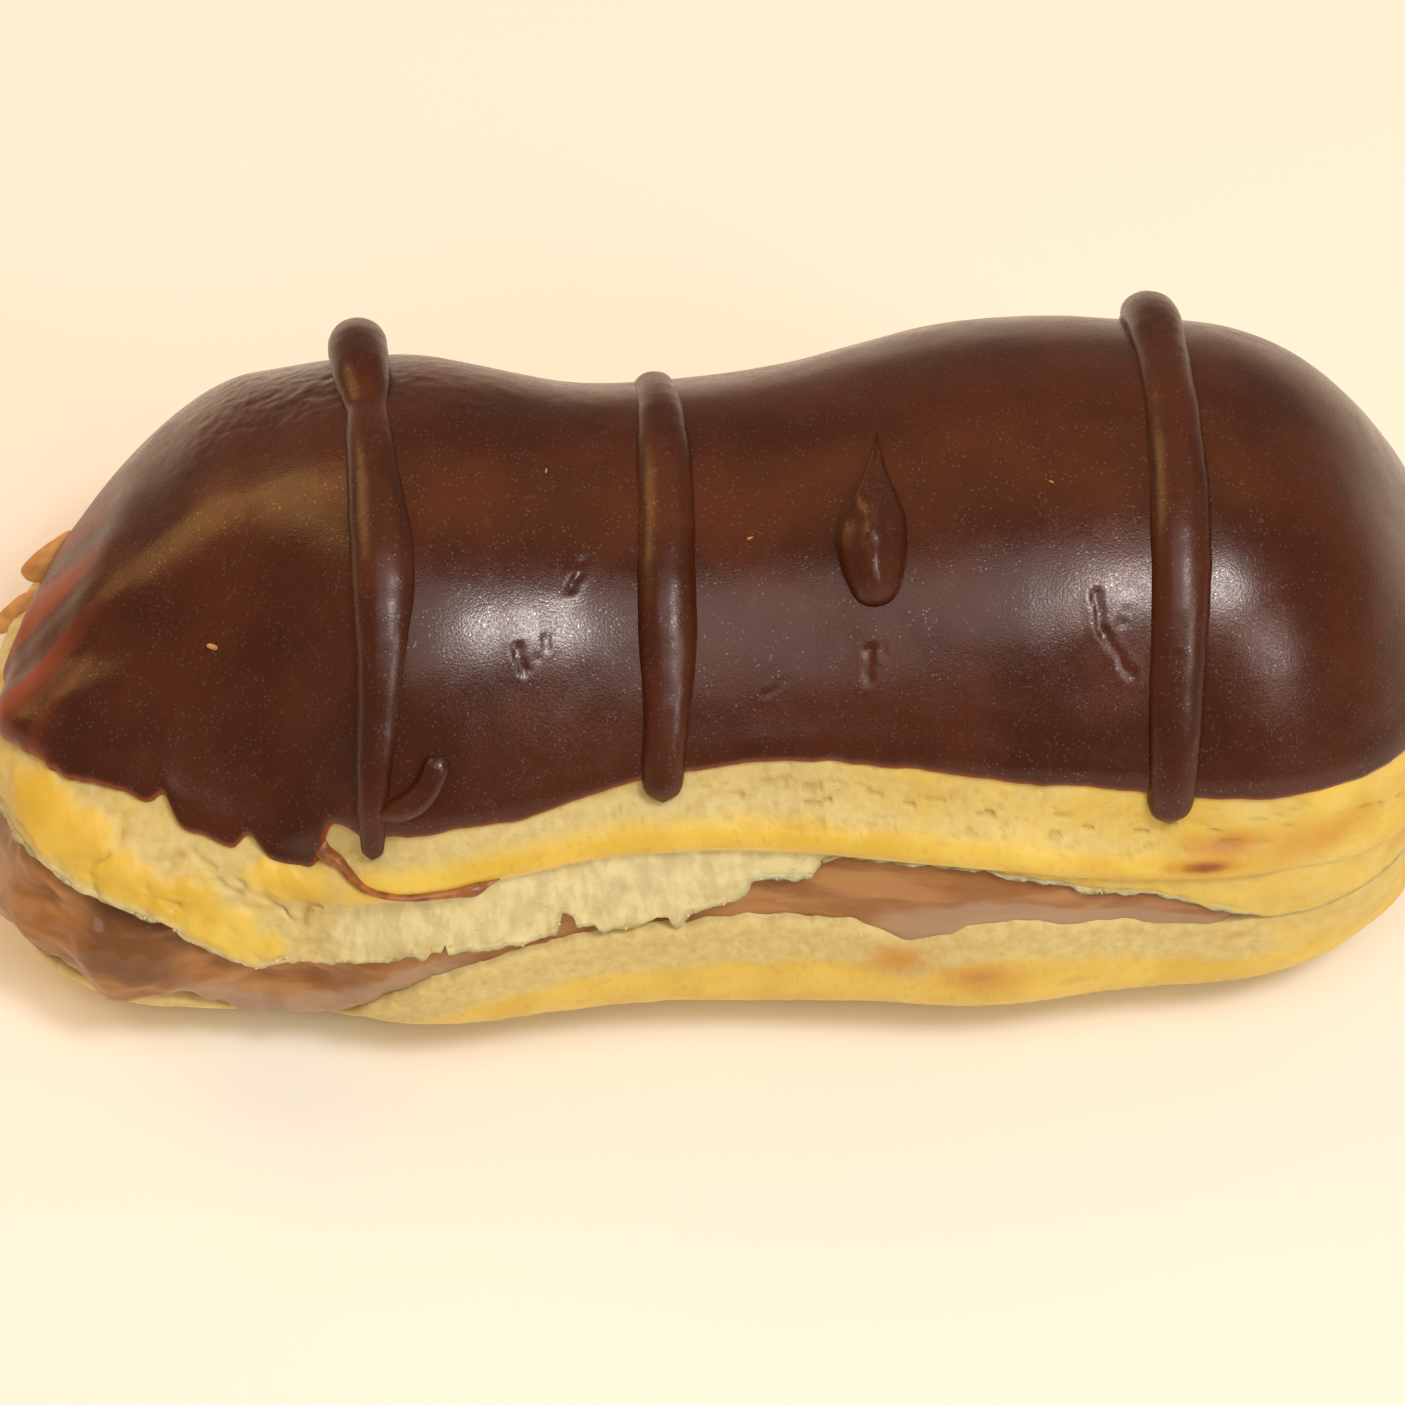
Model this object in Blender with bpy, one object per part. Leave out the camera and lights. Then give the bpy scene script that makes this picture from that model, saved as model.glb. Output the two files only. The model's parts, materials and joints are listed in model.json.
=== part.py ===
"""A chocolate eclair: a choux bun, cut open and filled with cream, coated and striped with chocolate.

The bun lies along X on the floor z = 0, with its cut towards -Y, and the origin is under its middle.
Every sub-part follows the bun's own surface, which is addressed by a station round its plan outline
and a level up its side: -1 at the edge of the flat foot, 0 at the widest height, 1 on the crest.
"""

import bmesh
import bpy
import numpy as np

MM = 0.001

# The bun: a spine along X with a rounded end past each of its two ends.
SPINE_LEFT, SPINE_RIGHT = -32 * MM, 33 * MM
REACH_LEFT, REACH_RIGHT = 21.2 * MM, 21.3 * MM
ROUND_LEFT, ROUND_RIGHT = 1.76, 2.45  # superellipse powers of the two ends in plan: 2 is an ellipse
WIDEST_HEIGHT = 13 * MM
FOOT_SHARE = 0.55  # the flat foot's width as a share of the widest width
ROUND_SECTION = 2.1  # superellipse power of the section across the bun
END_BEND = 6.2 * MM  # how far the left tip swings to the front
# Left of the first x, growing up to the second, the front above the widest height leans back: its
# section is less round, and it moves back by a growing share of its distance past the lobe.
LEAN_FROM, LEAN_FULL = -20 * MM, -32 * MM
LEFT_LEAN, LEAN_BACK = 0.45, 0.24
LEAN_LOBE, LEAN_EASE = -22 * MM, 3 * MM
LEAN_HEIGHTS = (15 * MM, 30 * MM)
LEAN_DEPTHS = (-3 * MM, 14 * MM)

# Half widths at stations along the spine, in millimetres: two lobes with a waist between.
#             x,  front,  back
WAIST = (
    (-32, 22.9, 24.6),
    (-21, 24.8, 23.6),
    (-8, 23.5, 20.2),
    (6, 23.7, 21.6),
    (20, 24.8, 25.2),
    (33, 23.4, 24.6),
)
# The crest's height along X, in millimetres. It falls away over the left end.
CREST = (
    (-54, 31.0),
    (-46, 32.9),
    (-40, 34.5),
    (-36, 35.7),
    (-32, 36.9),
    (-26.5, 39.1),
    (-21, 40.4),
    (-14, 39.8),
    (-8, 38.8),
    (-1, 38.6),
    (6, 39.2),
    (13, 40.4),
    (20, 41.3),
    (27, 41.3),
    (33, 40.6),
)

# Two baked ridges run round the side, one on each side of the cut: height and swell.
RIDGES = ((7.5 * MM, 0.7 * MM), (20.8 * MM, 1.1 * MM))
RIDGE_SPREAD = 3.2 * MM

# The cut: heights of the pastry's lips under and over it along X, in millimetres.
#          x,  under,  over
CUT = (
    (-56, 6.8, 17.8),
    (-46, 7.2, 17.4),
    (-39, 6.4, 15.6),
    (-33, 5.0, 13.2),
    (-28, 5.2, 13.6),
    (-23, 9.4, 14.4),
    (-17.5, 12.6, 15.9),
    (-7, 14.3, 16.3),
    (1, 15.2, 18.6),
    (9, 15.5, 21.2),
    (18, 15.5, 21.0),
    (27, 15.2, 19.0),
    (34, 14.4, 16.8),
    (39, 13.6, 14.4),
)
# How far back the cut reaches in plan, in millimetres. Left of the first knee it comes out at the back.
CUT_BACK = ((-56, 40), (-17, 40), (-10, 16), (4, 13), (18, 6), (30, -8), (39, -24))
CUT_FRONT = -40 * MM

# The coat: the height of its lower edge round the bun, in millimetres. The turn counts 0 to 1 along
# the front from left to right, to 2 round the right end, to 3 back along the rear, to 4 round the left.
COAT_EDGE = (
    (0.00, 22.0),
    (0.05, 21.9),
    (0.10, 24.6),
    (0.17, 25.9),
    (0.34, 26.9),
    (0.52, 28.7),
    (0.66, 29.1),
    (0.80, 28.5),
    (1.00, 26.0),
    (1.30, 23.4),
    (1.70, 22.8),
    (2.00, 25.4),
    (2.30, 27.0),
    (2.60, 28.4),
    (2.85, 26.0),
    (3.10, 24.4),
    (3.34, 22.6),
    (3.50, 21.6),
    (3.66, 22.3),
    (3.84, 23.0),
    (3.92, 22.2),
)
COAT_THICK, RIM_THICK = 1.5 * MM, 0.6 * MM
GAP = 0.3 * MM  # clearance between neighbouring solids
# Rows of the coat, as shares of the way from its rim to the crest, and the share where it has sunk
# flush with the bare pastry: the pastry under it stands back by the coat's thickness.
COAT_ROWS = (0, 0.035, 0.08, 0.14, 0.22, 0.34, 0.48, 0.62, 0.76, 0.88, 1)
FLUSH_SHARE = 0.2

# Piped stripes: name, x over the crest, how far x bows back at the two ends, half width, height,
# the level where each starts in front and ends behind, and the swell of a blob near its rear end.
STRIPES = (
    ("stripe_left", -22.7 * MM, 1.1 * MM, 2.1 * MM, 1.9 * MM, 0.255, 0.30, 0.35),
    ("stripe_middle", -2.6 * MM, 0.9 * MM, 2.0 * MM, 1.6 * MM, 0.335, 0.27, 0.0),
    ("stripe_right", 32.8 * MM, 1.1 * MM, 2.1 * MM, 1.7 * MM, 0.245, 0.30, 0.25),
)
DROP_X = 11.5 * MM
DROP_LEVELS = (0.66, 1.0)  # from its fat end in front to its thin tail on the crest
DROP_HALF_WIDTH, DROP_HEIGHT = 2.6 * MM, 1.8 * MM

SIDE_STATIONS, END_STATIONS = 22, 14
LEVELS_BELOW, LEVELS_ABOVE = 6, 5
STRIPE_STATIONS = 20
CUT_STATIONS, CREAM_STATIONS = 24, 26
CREAM_SECTION_POINTS = 14
# The cream stands proud of the pastry at the left and stays back in the cut at the right of a knee.
CREAM_PROUD, CREAM_BACK = 1.2 * MM, 0.9 * MM
CREAM_KNEE, CREAM_CHANGE = -12 * MM, 16 * MM
CREAM_RIGHT = 35 * MM
CREAM_SQUARENESS = 5  # superellipse power of its section


def smooth_step(t):
    t = np.clip(t, 0, 1)
    return t * t * (3 - 2 * t)


def between(x, start, end):
    """0 before start, 1 after end, and smooth between them."""
    return smooth_step((x - start) / (end - start))


def along(x, knots, column, period=None):
    """A smooth curve through the knots' column at x, flat beyond the ends unless it has a period."""
    table = np.array(knots, float)
    places, values = table[:, 0], table[:, column]
    if period:
        places = np.concatenate([places[-2:] - period, places, places[:3] + period])
        values = np.concatenate([values[-2:], values, values[:3]])
    slopes = np.gradient(values, places)
    slopes[0] = slopes[-1] = 0
    x = np.clip(x, places[0], places[-1])
    i = np.clip(np.searchsorted(places, x, side="right") - 1, 0, len(places) - 2)
    step = places[i + 1] - places[i]
    t = (x - places[i]) / step
    start = values[i] * (1 + 2 * t) * (1 - t) ** 2 + slopes[i] * step * t * (1 - t) ** 2
    end = values[i + 1] * t * t * (3 - 2 * t) + slopes[i + 1] * step * t * t * (t - 1)
    return start + end


def stations_round():
    """(spine x, angle, turn) of each station, anticlockwise from the front left, as columns."""
    side = np.arange(SIDE_STATIONS) / SIDE_STATIONS
    end = np.arange(END_STATIONS) / END_STATIONS
    length = SPINE_RIGHT - SPINE_LEFT
    front = (SPINE_LEFT + length * side, np.full_like(side, -np.pi / 2), side)
    right = (np.full_like(end, SPINE_RIGHT), np.pi * (end - 0.5), 1 + end)
    back = (SPINE_RIGHT - length * side, np.full_like(side, np.pi / 2), 2 + side)
    left = (np.full_like(end, SPINE_LEFT), np.pi * (end + 0.5), 3 + end)
    return np.hstack([front, right, back, left])


def ridge_swell(z):
    return sum(swell * np.exp(-(((z - height) / RIDGE_SPREAD) ** 2)) for height, swell in RIDGES)


def body_points(spine_x, angle, level):
    """Points of the bun's skin, in an array whose last axis is x, y, z. The arguments broadcast."""
    spine_x, angle, level = np.broadcast_arrays(spine_x, angle, level)
    out, across = np.cos(angle), np.sin(angle)
    to_end = np.abs(out) > 1e-9  # the two long sides run straight out from their stations
    power = np.where(out > 0, 2 / ROUND_RIGHT, 2 / ROUND_LEFT)
    reach = np.where(out > 0, REACH_RIGHT, REACH_LEFT)
    reach_x = np.where(to_end, np.sign(out) * np.abs(out) ** power * reach, 0)
    half = np.where(across < 0, along(spine_x / MM, WAIST, 1), along(spine_x / MM, WAIST, 2)) * MM
    half = half * np.sign(across) * np.where(to_end, np.abs(across) ** power, 1)

    tilt = np.abs(level) * np.pi / 2
    below = level < 0
    leaning = between(-spine_x, -LEAN_FROM, -LEAN_FULL) * (1 - across) / 2 * ~below
    roundness = ROUND_SECTION - LEFT_LEAN * leaning
    narrow = np.abs(np.cos(tilt)) ** (2 / roundness)
    inward = np.where(below, FOOT_SHARE + (1 - FOOT_SHARE) * narrow, narrow)
    inward = np.where(np.abs(level) > 1 - 1e-9, np.where(below, FOOT_SHARE, 0), inward)
    crest = along((spine_x + reach_x * inward) / MM, CREST, 1) * MM
    z = WIDEST_HEIGHT + np.where(below, -WIDEST_HEIGHT, crest - WIDEST_HEIGHT) * np.sin(tilt) ** (2 / roundness)

    half_width = np.hypot(half, reach_x)
    swell = 1 + ridge_swell(z) * np.sin(np.pi * np.clip(z / crest, 0, 1)) / np.maximum(half_width, MM)
    x = spine_x + reach_x * inward * swell
    y = half * inward * swell
    past_lobe = np.maximum(LEAN_LOBE - x, 0)
    upper_front = between(z, *LEAN_HEIGHTS) * between(-y, *LEAN_DEPTHS)
    y = y - END_BEND * smooth_step((SPINE_LEFT - x) / REACH_LEFT)
    y = y + LEAN_BACK * upper_front * past_lobe**2 / (past_lobe + LEAN_EASE)
    return np.stack([x, y, z], axis=-1)


def level_at(spine_x, angle, height):
    """The level above the widest height where the skin is this high, by halving."""
    low, high = np.zeros_like(spine_x), np.ones_like(spine_x)
    for _ in range(24):
        middle = (low + high) / 2
        under = body_points(spine_x, angle, middle)[..., 2] < height
        low, high = np.where(under, middle, low), np.where(under, high, middle)
    return low


def add_mesh(name, points, faces):
    """A mesh object of these points and faces, welded and facing out."""
    mesh = bpy.data.meshes.new(name)
    mesh.from_pydata([tuple(p) for p in points], [], faces)
    work = bmesh.new()
    work.from_mesh(mesh)
    bmesh.ops.remove_doubles(work, verts=work.verts, dist=0.02 * MM)
    bmesh.ops.recalc_face_normals(work, faces=work.faces)
    work.to_mesh(mesh)
    work.free()
    mesh.shade_smooth()
    obj = bpy.data.objects.new(name, mesh)
    bpy.context.scene.collection.objects.link(obj)
    return obj


def ring_faces(rows, columns):
    """Quads between neighbouring rows of a grid whose rows are closed rings."""
    return [
        (r * columns + c, r * columns + (c + 1) % columns,
         (r + 1) * columns + (c + 1) % columns, (r + 1) * columns + c)
        for r in range(rows - 1)
        for c in range(columns)
    ]


def loft(name, sections):
    """A closed solid through sections of equal numbers of points, with flat ends."""
    rows, columns = len(sections), len(sections[0])
    faces = ring_faces(rows, columns)
    faces += [tuple(range(columns)), tuple(range((rows - 1) * columns, rows * columns))]
    return add_mesh(name, np.concatenate(sections), faces)


def coat_edge():
    """The level of the coat's lower edge at each station."""
    spine_x, angle, turn = stations_round()
    return level_at(spine_x, angle, along(turn, COAT_EDGE, 1, period=4) * MM)


def skin(levels):
    """Rows of the bun's skin, one level to a row and station, and the outward normal at each point."""
    spine_x, angle, _ = stations_round()
    points = body_points(spine_x[None, :], angle[None, :], levels)
    normals = np.cross(np.roll(points, -1, axis=1) - np.roll(points, 1, axis=1), np.gradient(points, axis=0))
    normals[levels > 1 - 1e-9] = (0, 0, 1)
    return points, normals / np.linalg.norm(normals, axis=2, keepdims=True)


def coat_outer(share):
    """How far the coat's outer face stands off the skin: proud at its rim, flush further up."""
    return (GAP + RIM_THICK) * (1 - smooth_step(share / FLUSH_SHARE))


def coat_inner(share):
    thick = RIM_THICK + (COAT_THICK - RIM_THICK) * smooth_step(share / FLUSH_SHARE)
    return coat_outer(share) - thick


def coat_levels():
    edge = coat_edge()[None, :]
    return edge + (1 - edge) * np.array(COAT_ROWS)[:, None]


def add_body():
    """The whole bun before it is cut, on a flat foot."""
    edge = coat_edge()[None, :]
    count = edge.shape[1]
    below = np.linspace(-1, 0, LEVELS_BELOW, endpoint=False)[:, None] * np.ones((1, count))
    bare = np.linspace(0, 1, LEVELS_ABOVE, endpoint=False)[:, None] * edge
    coated = coat_levels()
    points, normals = skin(np.concatenate([below, bare, coated]))
    sunk = coat_inner(np.array(COAT_ROWS)) - GAP
    points[-len(coated):] += normals[-len(coated):] * sunk[:, None, None]
    faces = ring_faces(len(points), count)
    faces.append(tuple(range(count)))
    return add_mesh("choux", points.reshape(-1, 3), faces)


def cut_heights(x):
    return along(x / MM, CUT, 1) * MM, along(x / MM, CUT, 2) * MM


def cut_back(x):
    table = np.array(CUT_BACK, float)
    return np.interp(x / MM, table[:, 0], table[:, 1]) * MM


def add_cutter():
    """The wedge that opens the bun: along the front, round the left end and out at the back left."""
    left, right = CUT[0][0] * MM, CUT[-1][0] * MM
    sections = []
    for x in np.linspace(left, right, CUT_STATIONS):
        under, over = cut_heights(x)
        back = cut_back(x)
        sections.append(np.array([
            (x, CUT_FRONT, under), (x, back, under), (x, back, over), (x, CUT_FRONT, over),
        ]))
    cutter = loft("cutter", sections)
    cutter.hide_render = True
    cutter.display_type = "WIRE"
    return cutter


def wall_at(x, height):
    """(front y, back y) of the bun's skin at this x and height."""
    spine_x, angle, turn = stations_round()
    ring = body_points(spine_x, angle, level_at(spine_x, angle, height))
    in_front = (turn < 1.5) | (turn >= 3.5)
    sides = []
    for side in (in_front, ~in_front):
        line = ring[side]
        line = line[np.argsort(line[:, 0])]
        sides.append(np.interp(x, line[:, 0], line[:, 1]))
    return sides


def add_cream():
    """The filling: it fills the cut, swells out of it at the left and stays back in it at the right."""
    turn = np.linspace(0, 2 * np.pi, CREAM_SECTION_POINTS, endpoint=False)
    round_y = np.sign(np.cos(turn)) * np.abs(np.cos(turn)) ** (2 / CREAM_SQUARENESS)
    round_z = np.sign(np.sin(turn)) * np.abs(np.sin(turn)) ** (2 / CREAM_SQUARENESS)
    left = SPINE_LEFT - REACH_LEFT + CREAM_PROUD
    sections = []
    for x in np.linspace(left, CREAM_RIGHT, CREAM_STATIONS):
        under, over = cut_heights(x)
        bottom, top = under + GAP, over - GAP
        front, back = wall_at(x, WIDEST_HEIGHT)
        swell = smooth_step((CREAM_KNEE - x) / CREAM_CHANGE)
        proud = CREAM_PROUD * swell - CREAM_BACK * (1 - swell)
        y0, y1 = front - proud, min(back + proud, cut_back(x) - GAP)
        sections.append(np.stack([
            np.full_like(turn, x),
            (y0 + y1) / 2 + (y1 - y0) / 2 * round_y,
            (bottom + top) / 2 + (top - bottom) / 2 * round_z,
        ], axis=-1))
    return loft("cream", sections)


def add_coat():
    """The chocolate coat: a shell over the top of the bun, thinner towards its rim."""
    points, normals = skin(coat_levels())
    rows, columns = points.shape[:2]
    share = np.array(COAT_ROWS)[:, None, None]
    outer = points + normals * coat_outer(share)
    inner = points + normals * coat_inner(share)
    faces = ring_faces(rows, columns)
    faces += [tuple(rows * columns + i for i in face) for face in faces]
    rim = [(c, (c + 1) % columns) for c in range(columns)]
    faces += [(a, b, rows * columns + b, rows * columns + a) for a, b in rim]
    both = np.concatenate([outer.reshape(-1, 3), inner.reshape(-1, 3)])
    return add_mesh("chocolate_coat", both, faces)


def front_and_back(x, climb):
    """(angle, turn, level) where a line over the bun at x has climbed this far: 0 at the widest height
    in front, 1 on the crest, 2 at the widest height behind."""
    in_front = climb <= 1
    way = (x - SPINE_LEFT) / (SPINE_RIGHT - SPINE_LEFT)
    angle = np.where(in_front, -np.pi / 2, np.pi / 2)
    turn = np.where(in_front, way, 3 - way)
    return angle, turn, np.where(in_front, climb, 2 - climb)


def over_point(x, climb):
    angle, _, level = front_and_back(x, climb)
    return body_points(x, angle, level)


def unit(vectors):
    return vectors / np.linalg.norm(vectors, axis=-1, keepdims=True)


def over_the_top(x_of, front_level, back_level, count):
    """A path on the coat from the front over the bun to the back, and the directions across it and outward."""
    share = np.linspace(0, 1, count)
    climb = front_level + (2 - front_level - back_level) * share
    x = np.clip(x_of(share), SPINE_LEFT, SPINE_RIGHT)
    angle, turn, level = front_and_back(x, climb)
    here = body_points(x, angle, level)
    edge = level_at(x, angle, along(turn, COAT_EDGE, 1, period=4) * MM)
    lift = coat_outer(np.clip((level - edge) / (1 - edge), 0, 1)) + GAP
    along_path = unit(over_point(x, climb + 0.004) - over_point(x, climb - 0.004))
    across = unit(over_point(x + MM, climb) - over_point(x - MM, climb))
    normal = unit(np.cross(across, along_path))
    return here + normal * lift[:, None], across, normal, share


def piped_sections(path, across, normal, half_width, height):
    """Dome-shaped sections, flat side down, of a piped line along the path."""
    turn = np.linspace(0, np.pi, 8)[:, None]
    return [
        point + sideways * half * np.cos(turn) + up * tall * np.sin(turn)
        for point, sideways, up, half, tall in zip(path, across, normal, half_width, height)
    ]


def add_stripe(name, crest_x, bow, half_width, height, front_level, back_level, blob):
    """A piped line over the coat, with rounded ends."""
    path, across, normal, share = over_the_top(
        lambda way: crest_x - bow * (2 * way - 1) ** 2, front_level, back_level, STRIPE_STATIONS
    )
    to_end = np.clip(np.minimum(share, 1 - share) / 0.07, 0, 1)
    ends = np.sqrt(np.clip(1 - (1 - to_end) ** 2, 0.02, 1))
    size = ends * (1 + blob * np.exp(-(((share - 0.72) / 0.06) ** 2)))
    return loft(name, piped_sections(path, across, normal, half_width * size, height * size))


def add_drop():
    """A drop that fell on the coat: round in front, drawn out to a thin tail over the crest."""
    front_level, tail_level = DROP_LEVELS
    path, across, normal, share = over_the_top(
        lambda way: DROP_X + 0 * way, front_level, 2 - tail_level, 12
    )
    head = np.sqrt(np.clip(1 - ((share - 0.3) / 0.32) ** 2, 0, 1))
    tail = ((1 - share) / 0.7) ** 1.1
    size = np.clip(np.where(share < 0.3, head, tail), 0.08, 1)
    sections = piped_sections(path, across, normal, DROP_HALF_WIDTH * size, DROP_HEIGHT * size)
    return loft("chocolate_drop", sections)


def give_material(obj, name, colour, roughness):
    material = bpy.data.materials.get(name)
    if material is None:
        material = bpy.data.materials.new(name)
        material.use_nodes = True
        shader = material.node_tree.nodes["Principled BSDF"]
        shader.inputs["Base Color"].default_value = (*colour, 1)
        shader.inputs["Roughness"].default_value = roughness
        shader.inputs["Metallic"].default_value = 0
    obj.data.materials.append(material)


def build():
    for old in list(bpy.data.objects):
        bpy.data.objects.remove(old)

    choux = add_body()
    cut = choux.modifiers.new("cut", "BOOLEAN")
    cut.operation = "DIFFERENCE"
    cut.solver = "EXACT"
    cut.object = add_cutter()
    give_material(choux, "choux", (0.72, 0.47, 0.13), 0.7)

    give_material(add_cream(), "chocolate_cream", (0.30, 0.16, 0.08), 0.5)

    chocolate = ("chocolate", (0.055, 0.018, 0.008), 0.35)
    give_material(add_coat(), *chocolate)
    for stripe in STRIPES:
        give_material(add_stripe(*stripe), *chocolate)
    give_material(add_drop(), *chocolate)


build()
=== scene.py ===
# %% [markdown]
# # A chocolate eclair
# A choux bun, cut open along one side, filled with chocolate cream and coated with chocolate, with
# three piped stripes across it. Everything soft about it follows one form, the bun's own skin. So the
# lesson writes that form down once, as a function, and then grows the pastry, the cream, the coat and
# the piping from it, each with its own detail and its own finish.

import json
import math

import bmesh
import bpy
import numpy as np
from mathutils import Vector
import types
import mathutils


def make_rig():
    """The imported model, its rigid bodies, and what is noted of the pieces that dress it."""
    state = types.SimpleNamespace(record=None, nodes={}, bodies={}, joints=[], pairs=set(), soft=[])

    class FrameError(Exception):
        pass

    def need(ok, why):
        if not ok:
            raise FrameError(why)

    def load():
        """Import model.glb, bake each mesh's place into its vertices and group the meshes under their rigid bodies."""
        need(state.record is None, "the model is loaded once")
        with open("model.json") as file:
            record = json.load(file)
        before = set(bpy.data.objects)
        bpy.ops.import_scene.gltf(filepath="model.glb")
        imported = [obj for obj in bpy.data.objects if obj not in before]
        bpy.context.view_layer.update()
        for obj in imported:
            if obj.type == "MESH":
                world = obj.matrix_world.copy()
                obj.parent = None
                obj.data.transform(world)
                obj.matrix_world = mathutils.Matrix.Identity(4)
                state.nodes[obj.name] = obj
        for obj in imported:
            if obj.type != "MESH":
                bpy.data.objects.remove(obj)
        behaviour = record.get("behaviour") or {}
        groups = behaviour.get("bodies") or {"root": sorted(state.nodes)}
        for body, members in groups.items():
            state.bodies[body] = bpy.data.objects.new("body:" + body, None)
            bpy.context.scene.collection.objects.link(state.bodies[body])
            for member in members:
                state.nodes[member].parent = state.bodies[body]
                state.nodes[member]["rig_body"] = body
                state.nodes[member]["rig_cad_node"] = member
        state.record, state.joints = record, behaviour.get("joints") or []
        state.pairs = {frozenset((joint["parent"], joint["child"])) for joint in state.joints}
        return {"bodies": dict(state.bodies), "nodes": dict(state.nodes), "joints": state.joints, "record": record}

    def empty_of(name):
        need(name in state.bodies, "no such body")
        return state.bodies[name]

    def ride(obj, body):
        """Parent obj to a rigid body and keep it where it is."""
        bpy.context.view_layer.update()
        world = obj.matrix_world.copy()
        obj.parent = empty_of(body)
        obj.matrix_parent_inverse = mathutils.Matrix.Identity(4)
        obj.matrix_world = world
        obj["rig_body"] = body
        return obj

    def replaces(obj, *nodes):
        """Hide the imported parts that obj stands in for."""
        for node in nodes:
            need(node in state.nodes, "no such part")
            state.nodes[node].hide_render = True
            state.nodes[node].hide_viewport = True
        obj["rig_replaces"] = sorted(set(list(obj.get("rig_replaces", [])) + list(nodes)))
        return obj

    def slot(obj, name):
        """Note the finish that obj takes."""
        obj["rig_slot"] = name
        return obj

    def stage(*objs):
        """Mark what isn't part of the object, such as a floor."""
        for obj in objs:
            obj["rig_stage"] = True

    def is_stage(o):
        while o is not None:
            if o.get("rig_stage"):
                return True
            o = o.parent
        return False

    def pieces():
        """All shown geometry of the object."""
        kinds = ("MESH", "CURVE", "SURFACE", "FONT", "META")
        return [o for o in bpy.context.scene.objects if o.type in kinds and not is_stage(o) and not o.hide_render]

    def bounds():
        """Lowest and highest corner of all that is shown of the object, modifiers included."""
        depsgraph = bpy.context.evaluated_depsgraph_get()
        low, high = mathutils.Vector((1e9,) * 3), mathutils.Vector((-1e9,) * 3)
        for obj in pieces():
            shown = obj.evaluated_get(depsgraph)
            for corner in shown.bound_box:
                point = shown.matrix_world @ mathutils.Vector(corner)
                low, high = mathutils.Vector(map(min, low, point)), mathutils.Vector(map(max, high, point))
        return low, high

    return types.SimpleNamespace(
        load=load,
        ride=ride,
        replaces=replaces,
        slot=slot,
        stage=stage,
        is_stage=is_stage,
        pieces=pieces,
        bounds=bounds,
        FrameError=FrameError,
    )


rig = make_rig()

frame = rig.load()
MM = 0.001


def as_lists(box):
    return [[float(v) for v in corner] for corner in box]


cad_box = as_lists(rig.bounds())
print("CAD box in mm:", [[round(v * 1000, 1) for v in corner] for corner in cad_box])

# %% [markdown]
# ## The bun's form
# A piped bun is a sausage of dough with a rounded end past each end of a spine. Its plan has a waist,
# its section is a loaf on a flat foot. A point of the skin has two addresses: a *turn* round the plan,
# which counts 0 to 1 along the front, to 2 round the right end, to 3 back along the rear and to 4 round
# the left end, and a *level* up the side, -1 at the foot, 0 at the widest height and 1 on the crest.
# Short tables of widths and heights hold the uneven shape, and a smooth curve runs through each.

# %% The form's measures
SPINE_LEFT, SPINE_RIGHT = -32 * MM, 33 * MM
REACH_LEFT, REACH_RIGHT = 21.2 * MM, 21.3 * MM
ROUND_LEFT, ROUND_RIGHT = 1.76, 2.45
WIDEST_HEIGHT = 13 * MM
FOOT_SHARE = 0.55
ROUND_SECTION = 2.1
END_BEND = 6.2 * MM
LEFT_LEAN, LEAN_BACK = 0.45, 0.24
#  x, how far the front and the back stand off the spine's line there, in millimetres
WAIST = (
    (-32, 22.9, 24.6), (-21, 24.8, 23.6), (-8, 23.5, 20.2),
    (6, 23.7, 21.6), (20, 24.8, 25.2), (33, 23.4, 24.6),
)
#  x, height of the crest there, in millimetres
CREST = (
    (-54, 31.0), (-46, 32.9), (-40, 34.5), (-36, 35.7), (-32, 36.9), (-26.5, 39.1), (-21, 40.4),
    (-14, 39.8), (-8, 38.8), (-1, 38.6), (6, 39.2), (13, 40.4), (20, 41.3), (27, 41.3), (33, 40.6),
)


def smooth_step(t):
    t = np.clip(t, 0, 1)
    return t * t * (3 - 2 * t)


def between(x, start, end):
    """0 before start, 1 after end, and smooth between them."""
    return smooth_step((x - start) / (end - start))


def hump(x, middle, spread):
    return np.exp(-(((x - middle) / spread) ** 2))


def along(x, knots, column):
    """A smooth curve through a table's column, flat beyond its ends."""
    table = np.array(knots, float)
    places, values = table[:, 0], table[:, column]
    slopes = np.gradient(values, places)
    slopes[0] = slopes[-1] = 0
    x = np.clip(x, places[0], places[-1])
    i = np.clip(np.searchsorted(places, x, side="right") - 1, 0, len(places) - 2)
    step = places[i + 1] - places[i]
    t = (x - places[i]) / step
    start = values[i] * (1 + 2 * t) * (1 - t) ** 2 + slopes[i] * step * t * (1 - t) ** 2
    end = values[i + 1] * t * t * (3 - 2 * t) + slopes[i + 1] * step * t * t * (t - 1)
    return start + end


# %% The skin as a function
def plan_place(turn):
    """(spine x, angle) of a turn round the plan."""
    turn = np.asarray(turn, float) % 4
    side, part = turn.astype(int), turn % 1
    length = SPINE_RIGHT - SPINE_LEFT
    to_right, to_left = SPINE_LEFT + length * part, SPINE_RIGHT - length * part
    spine_x = np.choose(side, [to_right, SPINE_RIGHT, to_left, SPINE_LEFT])
    angle = np.pi * np.choose(side, [-0.5, part - 0.5, 0.5, part + 0.5])
    return spine_x, angle


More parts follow.
